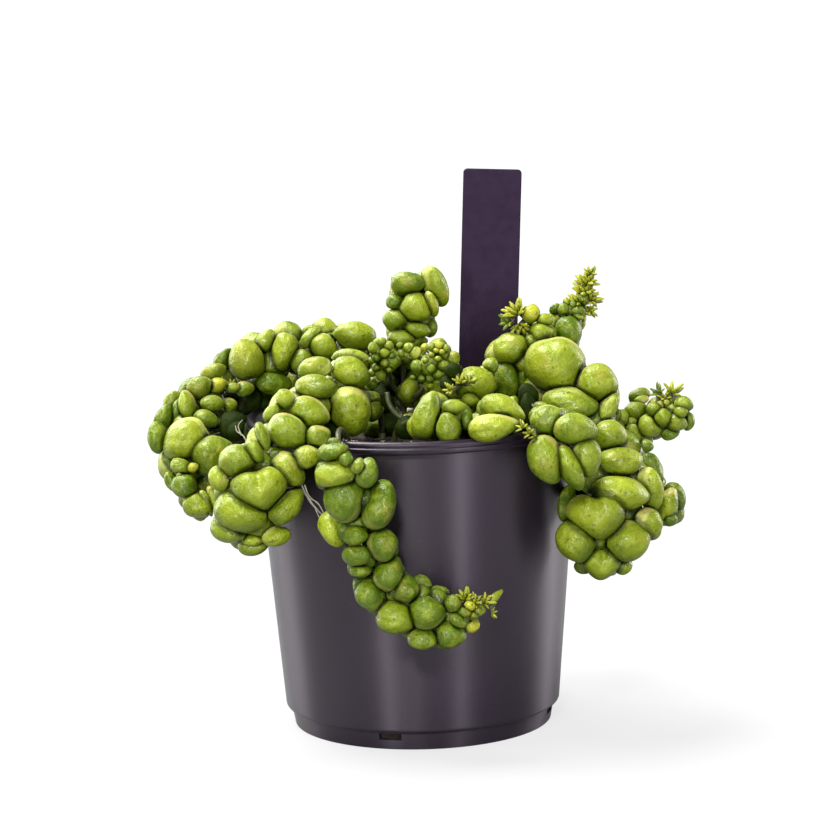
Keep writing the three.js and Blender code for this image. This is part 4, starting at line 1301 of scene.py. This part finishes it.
def make_strands(materials):
    """Each strand's stems and leaves as one piece."""
    all_grown = [grow(strand) for strand in STRANDS]
    views = np.array([leaf["view"] for grown in all_grown for leaf in grown["front"]])
    chosen = [choose_leaves(grown, views) for grown in all_grown]
    every_leaf = [leaf for leaves in chosen for leaf in leaves]
    shaped = [shape_leaf(leaf, seeded_draw(SHAPE_SEED + i)) for i, leaf in enumerate(every_leaf)]
    moved, creases = press_leaves(every_leaf, [vertices for vertices, _, _ in shaped])
    places = iter(range(len(every_leaf)))
    for grown, leaves in zip(all_grown, chosen):
        heap = Heap()
        for path in grown["paths"]:
            add_stem(heap, path, grown["draw"])
        foot = np.array(grown["paths"][0][0][:3], float)
        heap.add(*tube([foot - (0, 0, STEM_DEPTH), foot + (0, 0, 1)], [1.1, 1.2], STEM_SIDES), 1)
        for leaf in leaves:
            i = next(places)
            _, faces, marks = shaped[i]
            crease, shade = creases[i]
            # The painted shade round touching leaves joins the painted shade of the lower side.
            marks["low"] = np.maximum(marks["low"], shade)
            # Deep leaves take the near-black material: painted shade where the strand is dark inside.
            skin = 2 if "deep" in leaf.get("words", []) else 0
            heap.add(moved[i], faces, skin, crease=crease, tint=leaf["tint"], ripe=leaf["ripe"], **marks)
            if "root" in leaf:
                stalk = [leaf["root"], leaf["base"] + 0.3 * leaf["long"] * leaf["length"]]
                heap.add(*tube(stalk, STALK_RADII, 6), 1)
        name = grown["strand"]["name"]
        made = heap.build(name + "_foliage", materials)
        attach(made, "root")
        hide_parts(name)


# Aerial roots: how much nearer than the target, the radius, and a line of points seen from the front. The
# bare stem rises behind them, between the strands.
ROOTS = [
    (47, 0.30, [(-59, 39), (-60.5, 41.5), (-61.5, 43), (-63.5, 44.5), (-64, 46.5)]),
    (47, 0.25, [(-62, 43), (-63, 46.5), (-61.5, 48.5)]),
    (60, 0.30, [(-41.5, 26), (-39.5, 21.5), (-36.5, 17), (-33.5, 13.5), (-31.5, 10)]),
    (60, 0.25, [(-40, 25), (-38.5, 21), (-35, 17.5), (-33, 13)]),
    (59, 0.25, [(-41, 23.5), (-38, 18.5), (-35.5, 15.5), (-32, 12)]),
    (61, 0.20, [(-38.5, 20), (-35.5, 18.5), (-33.5, 15)]),
    (60, 0.20, [(-36.5, 16.5), (-35, 13), (-33.5, 9.5)]),
]
BARE_STEM = [(-10, 57), (-9.5, 53.5), (-8, 50.5), (-5.5, 48), (-2.5, 46)]
BARE_STEM_NEAR = 34
BARE_STEM_RADIUS = 0.95


def make_roots(materials):
    """The aerial roots and the bare stem, as one piece."""
    draw = seeded_draw(ROOT_SEED)
    heap = Heap()
    for near, thick, spots in ROOTS:
        points = [place_seen(spot, near + 1.5 * draw()) for spot in spots]
        line = curve_through(points, 5)
        radii = [thick * (1 - 0.6 * i / len(line)) * (0.8 + 0.4 * draw()) for i in range(len(line))]
        heap.add(*tube(line, radii, 7), 1)
    points = [place_seen(spot, BARE_STEM_NEAR) for spot in BARE_STEM]
    line = curve_through(points, 6)
    heap.add(*tube(line, [BARE_STEM_RADIUS] * len(line), 12), 0)
    made = heap.build("aerial_roots", materials)
    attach(made, "root")


# The pot, the potting mix and the label.


def lathe(profile, segments):
    """Vertices and faces of a closed shape turned round the pot's axis."""
    vertices = [point for r, z in profile for point in circle(r, z, segments)]
    last = (len(profile) - 1) * segments
    foot, head = tuple(range(segments))[::-1], tuple(range(last, last + segments))
    return vertices, [*bands(len(profile), segments), foot, head]


def rounded(corners, radius, steps=5):
    """A profile whose inner corners are rounded."""
    points = [corners[0]]
    for before, corner, after in zip(corners, corners[1:], corners[2:]):
        before, corner, after = (np.array(p, float) for p in (before, corner, after))
        short = min(radius, 0.45 * np.linalg.norm(before - corner), 0.45 * np.linalg.norm(after - corner))
        a = corner + short * unit(before - corner)
        b = corner + short * unit(after - corner)
        for t in np.linspace(0, 1, steps):
            points.append(tuple((1 - t) ** 2 * a + 2 * t * (1 - t) * corner + t**2 * b))
    return points + [corners[-1]]


def sharpen(mesh, limit):
    """Marks the edges that are sharper than a limit in degrees, so that smooth shading stops there."""
    work = bmesh.new()
    work.from_mesh(mesh)
    for edge in work.edges:
        if len(edge.link_faces) == 2 and edge.calc_face_angle() > math.radians(limit):
            edge.smooth = False
    work.to_mesh(mesh)
    work.free()


def cut(piece, tools):
    """Cuts closed meshes out of a piece."""
    for tool in tools:
        modifier = piece.modifiers.new("cut", "BOOLEAN")
        modifier.operation = "DIFFERENCE"
        modifier.solver = "EXACT"
        modifier.object = tool
    bpy.context.view_layer.update()
    shown = piece.evaluated_get(bpy.context.evaluated_depsgraph_get())
    mesh = bpy.data.meshes.new_from_object(shown)
    piece.modifiers.clear()
    piece.data = mesh
    for tool in tools:
        bpy.data.objects.remove(tool)


def drain_tools():
    """Closed meshes of the slots under the ledge and of the holes in the floor."""
    tools = []
    for i in range(DRAIN_SLOTS):
        turn = Matrix.Rotation(DRAIN_SLOT_TURN + i * 2 * math.pi / DRAIN_SLOTS, 4, "Z")
        size = (DRAIN_SLOT_DEPTH / 2, DRAIN_SLOT_WIDTH / 2, DRAIN_SLOT_HEIGHT / 2)
        middle = Vector((FOOT_RADIUS, 0, FOOT_HEIGHT - DRAIN_SLOT_DROP - DRAIN_SLOT_HEIGHT / 2))
        work = bmesh.new()
        place = turn @ Matrix.Translation(middle) @ Matrix.Diagonal((*size, 1))
        bmesh.ops.create_cube(work, size=2, matrix=place)
        tools.append(tool_from(work, f"slot_tool_{i}"))
    for i in range(DRAIN_HOLES):
        turn = i * 2 * math.pi / DRAIN_HOLES
        middle = Vector((DRAIN_HOLE_RING * math.cos(turn), DRAIN_HOLE_RING * math.sin(turn), FLOOR / 2))
        work = bmesh.new()
        bmesh.ops.create_cone(
            work, cap_ends=True, segments=32, radius1=DRAIN_HOLE_RADIUS, radius2=DRAIN_HOLE_RADIUS,
            depth=3 * FLOOR, matrix=Matrix.Translation(middle),
        )
        tools.append(tool_from(work, f"hole_tool_{i}"))
    return tools


def tool_from(work, name):
    mesh = bpy.data.meshes.new(name)
    work.to_mesh(mesh)
    work.free()
    mesh.transform(Matrix.Scale(MM, 4))
    return link(bpy.data.objects.new(name, mesh))


def pot_corners():
    """The pot's profile: up the outside from the middle of its floor, and down the inside."""
    middle_rim = RIM_FOOT + 0.45 * RIM_HEIGHT
    foot_ring = [
        (2, 0), (FOOT_RADIUS - 2.2, 0), (FOOT_RADIUS - 1.8, 0.5), (FOOT_RADIUS - 0.9, 0.5),
        (FOOT_RADIUS - 0.5, 0), (FOOT_RADIUS, 0.2), (FOOT_RADIUS + 1.1, FOOT_HEIGHT - 0.7),
    ]
    outside = [
        (WALL_BOTTOM_RADIUS - 0.5, FOOT_HEIGHT - 0.2), (WALL_BOTTOM_RADIUS, FOOT_HEIGHT + 0.5),
        (WALL_TOP_RADIUS, RIM_FOOT),
    ]
    rim = [
        (RIM_RADIUS - 0.5, RIM_FOOT), (RIM_RADIUS, RIM_FOOT + 0.5), (RIM_RADIUS, middle_rim),
        (RIM_RADIUS - 0.45, middle_rim + 0.3), (RIM_RADIUS - 0.35, POT_HEIGHT - 0.9),
        (RIM_RADIUS - 1.2, POT_HEIGHT), (WALL_TOP_RADIUS + 0.4, POT_HEIGHT),
    ]
    inside = [
        (WALL_TOP_RADIUS - 0.6, POT_HEIGHT - 1), (wall_radius(SOIL_TOP) - WALL, SOIL_TOP),
        (wall_radius(FOOT_HEIGHT + 2) - WALL, FOOT_HEIGHT + 2), (FOOT_RADIUS + 0.8 - WALL, FOOT_HEIGHT),
        (FOOT_RADIUS + 0.2 - WALL, FLOOR), (2, FLOOR),
    ]
    return foot_ring + outside + rim + inside


def make_pot():
    """The turned shell with its slots and holes cut out, and less gloss on the rim."""
    vertices, faces = lathe(rounded(pot_corners(), POT_ROUNDING), POT_SEGMENTS)
    wall = pot_material("pot_plastic", brushed=0.85, gloss=0.80)
    rim = pot_material("pot_rim_plastic", brushed=0.0, gloss=0.36)
    pot = make_object("nursery_pot", vertices, faces, [wall, rim])
    cut(pot, drain_tools())
    pot.data.polygons.foreach_set("use_smooth", np.ones(len(pot.data.polygons), bool))
    for face in pot.data.polygons:
        face.material_index = int(face.center.z > RIM_FOOT * MM)
    sharpen(pot.data, 38)
    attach(pot, "root")
    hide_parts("pot")


def soil_height(x, y):
    """The height of the soil's top, with coarse and fine waves."""
    coarse = math.sin(0.31 * x + 1.3) * math.cos(0.27 * y - 0.6)
    fine = math.sin(0.83 * x - 0.4 * y) * math.cos(0.71 * y + 0.5 * x)
    return SOIL_TOP + SOIL_ROUGHNESS * (0.7 * coarse + 0.6 * fine)


# Pale grit left on the rim: the angle from the front, how far out, and the size of each grain.
RIM_GRIT = [
    (-0.42, 58.0, 0.40), (-0.39, 57.4, 0.30), (-0.37, 58.3, 0.40), (-0.355, 57.6, 0.25), (-0.44, 57.5, 0.30),
    (-0.03, 57.8, 0.25),
]


def crumb(draw):
    """Vertices and faces of a rough lump of about radius 1."""
    work = bmesh.new()
    bmesh.ops.create_icosphere(work, subdivisions=1, radius=1)
    vertices = np.array([v.co for v in work.verts])
    faces = [tuple(v.index for v in face.verts) for face in work.faces]
    work.free()
    return vertices * (1 + 0.35 * np.array([draw() - 0.5 for _ in vertices]))[:, None], faces


def soil_bed(radius):
    """Vertices and faces of the bed: its rough top, its side and its underside."""
    vertices = [(0, 0, soil_height(0, 0))]
    for ring in range(1, SOIL_RINGS + 1):
        for x, y, _ in circle(radius * ring / SOIL_RINGS, 0, SOIL_SEGMENTS):
            rough = noise.noise(Vector((0.45 * x, 0.45 * y, 3))) + 0.5 * noise.noise(Vector((x, y, 7)))
            vertices.append((x, y, soil_height(x, y) + 0.7 * rough))
    vertices += circle(radius - 0.5, SOIL_TOP - 5, SOIL_SEGMENTS)
    vertices += circle(WALL_BOTTOM_RADIUS - 2.2, FOOT_HEIGHT + 2, SOIL_SEGMENTS)
    vertices += circle(FOOT_RADIUS - 2, FLOOR + 0.5, SOIL_SEGMENTS)
    faces = [(0, 1 + k, 1 + (k + 1) % SOIL_SEGMENTS) for k in range(SOIL_SEGMENTS)]
    faces += [(a, d, c, b) for a, b, c, d in bands(SOIL_RINGS + 3, SOIL_SEGMENTS, first=1)]
    faces.append(tuple(range(len(vertices) - SOIL_SEGMENTS, len(vertices)))[::-1])
    return np.array(vertices), faces


def make_soil(root):
    """A rough bed that fills the pot, with bark crumbs and grit scattered over it."""
    draw = seeded_draw(SOIL_SEED)
    radius = wall_radius(SOIL_TOP) - WALL - SOIL_GAP
    heap = Heap()
    heap.add(*soil_bed(radius))
    for _ in range(CRUMBS):
        r, turn = (radius - 2.5) * math.sqrt(draw()), 2 * math.pi * draw()
        x, y = r * math.cos(turn), r * math.sin(turn)
        size = 0.5 + 2.1 * draw() ** 3
        vertices, faces = crumb(draw)
        squash = np.array((1, 0.5 + 0.5 * draw(), 0.35 + 0.4 * draw())) * size
        turn = Matrix.Rotation(ANY_TURN * draw(), 3, "Z") @ Matrix.Rotation(0.9 * (draw() - 0.5), 3, "X")
        place = np.array((x, y, soil_height(x, y) + 0.3 * squash[2]))
        heap.add((vertices * squash) @ np.array(turn).T + place, faces, 1 if draw() < GRIT_SHARE else 0)
    for turn, r, size in RIM_GRIT:
        place = (r * math.sin(turn), -r * math.cos(turn), POT_HEIGHT + 0.4 * size)
        vertices, faces = crumb(draw)
        heap.add(vertices * size * np.array((1, 0.7, 0.6)) + place, faces, 1)
    soil = heap.build("potting_mix_bed", [soil_material(), root])
    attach(soil, "root")
    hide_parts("soil")


def label_outline():
    """Half of the plate from its pointed foot to its rounded corner, and the same mirrored."""
    half = LABEL_WIDTH / 2
    top, bottom = LABEL_TOP - LABEL_FOOT[2], LABEL_BOTTOM - LABEL_FOOT[2]
    outline = [(0, bottom), (half, bottom + LABEL_POINT)]
    for i in range(9):
        turn = i / 8 * math.pi / 2
        in_by, down_by = LABEL_CORNER * (1 - math.cos(turn)), LABEL_CORNER * (1 - math.sin(turn))
        outline.append((half - in_by, top - down_by))
    return outline + [(-x, z) for x, z in outline[:0:-1]]


def make_label():
    """A blank plant label: a rounded plate, pointed at its foot."""
    outline = label_outline()
    work = bmesh.new()
    front = [work.verts.new((x, -LABEL_THICKNESS / 2, z)) for x, z in outline]
    back = [work.verts.new((x, LABEL_THICKNESS / 2, z)) for x, z in outline]
    work.faces.new(front)
    work.faces.new(back[::-1])
    for i in range(len(outline)):
        j = (i + 1) % len(outline)
        work.faces.new((front[j], front[i], back[i], back[j]))
    rims = [edge for edge in work.edges if len({round(v.co.y, 3) for v in edge.verts}) == 1]
    bmesh.ops.recalc_face_normals(work, faces=work.faces)
    bmesh.ops.bevel(work, geom=rims, offset=LABEL_EDGE, segments=3, affect="EDGES")
    mesh = bpy.data.meshes.new("label")
    work.to_mesh(mesh)
    work.free()
    lean = Matrix.Rotation(LABEL_LEAN, 4, "Y")
    mesh.transform(Matrix.Scale(MM, 4) @ Matrix.Translation(Vector(LABEL_FOOT)) @ lean)
    mesh.materials.append(label_material())
    label = link(bpy.data.objects.new("plant_label", mesh))
    mesh.polygons.foreach_set("use_smooth", np.ones(len(mesh.polygons), bool))
    sharpen(mesh, 50)
    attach(label, "root")
    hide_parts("label")


make_camera()
make_studio()
leaf, stem, shade, root = leaf_material(), stem_material(), deep_leaf_material(), root_material()
make_strands([leaf, stem, shade])
make_roots([stem, root])
make_pot()
make_soil(root)
make_label()

bpy.context.view_layer.update()
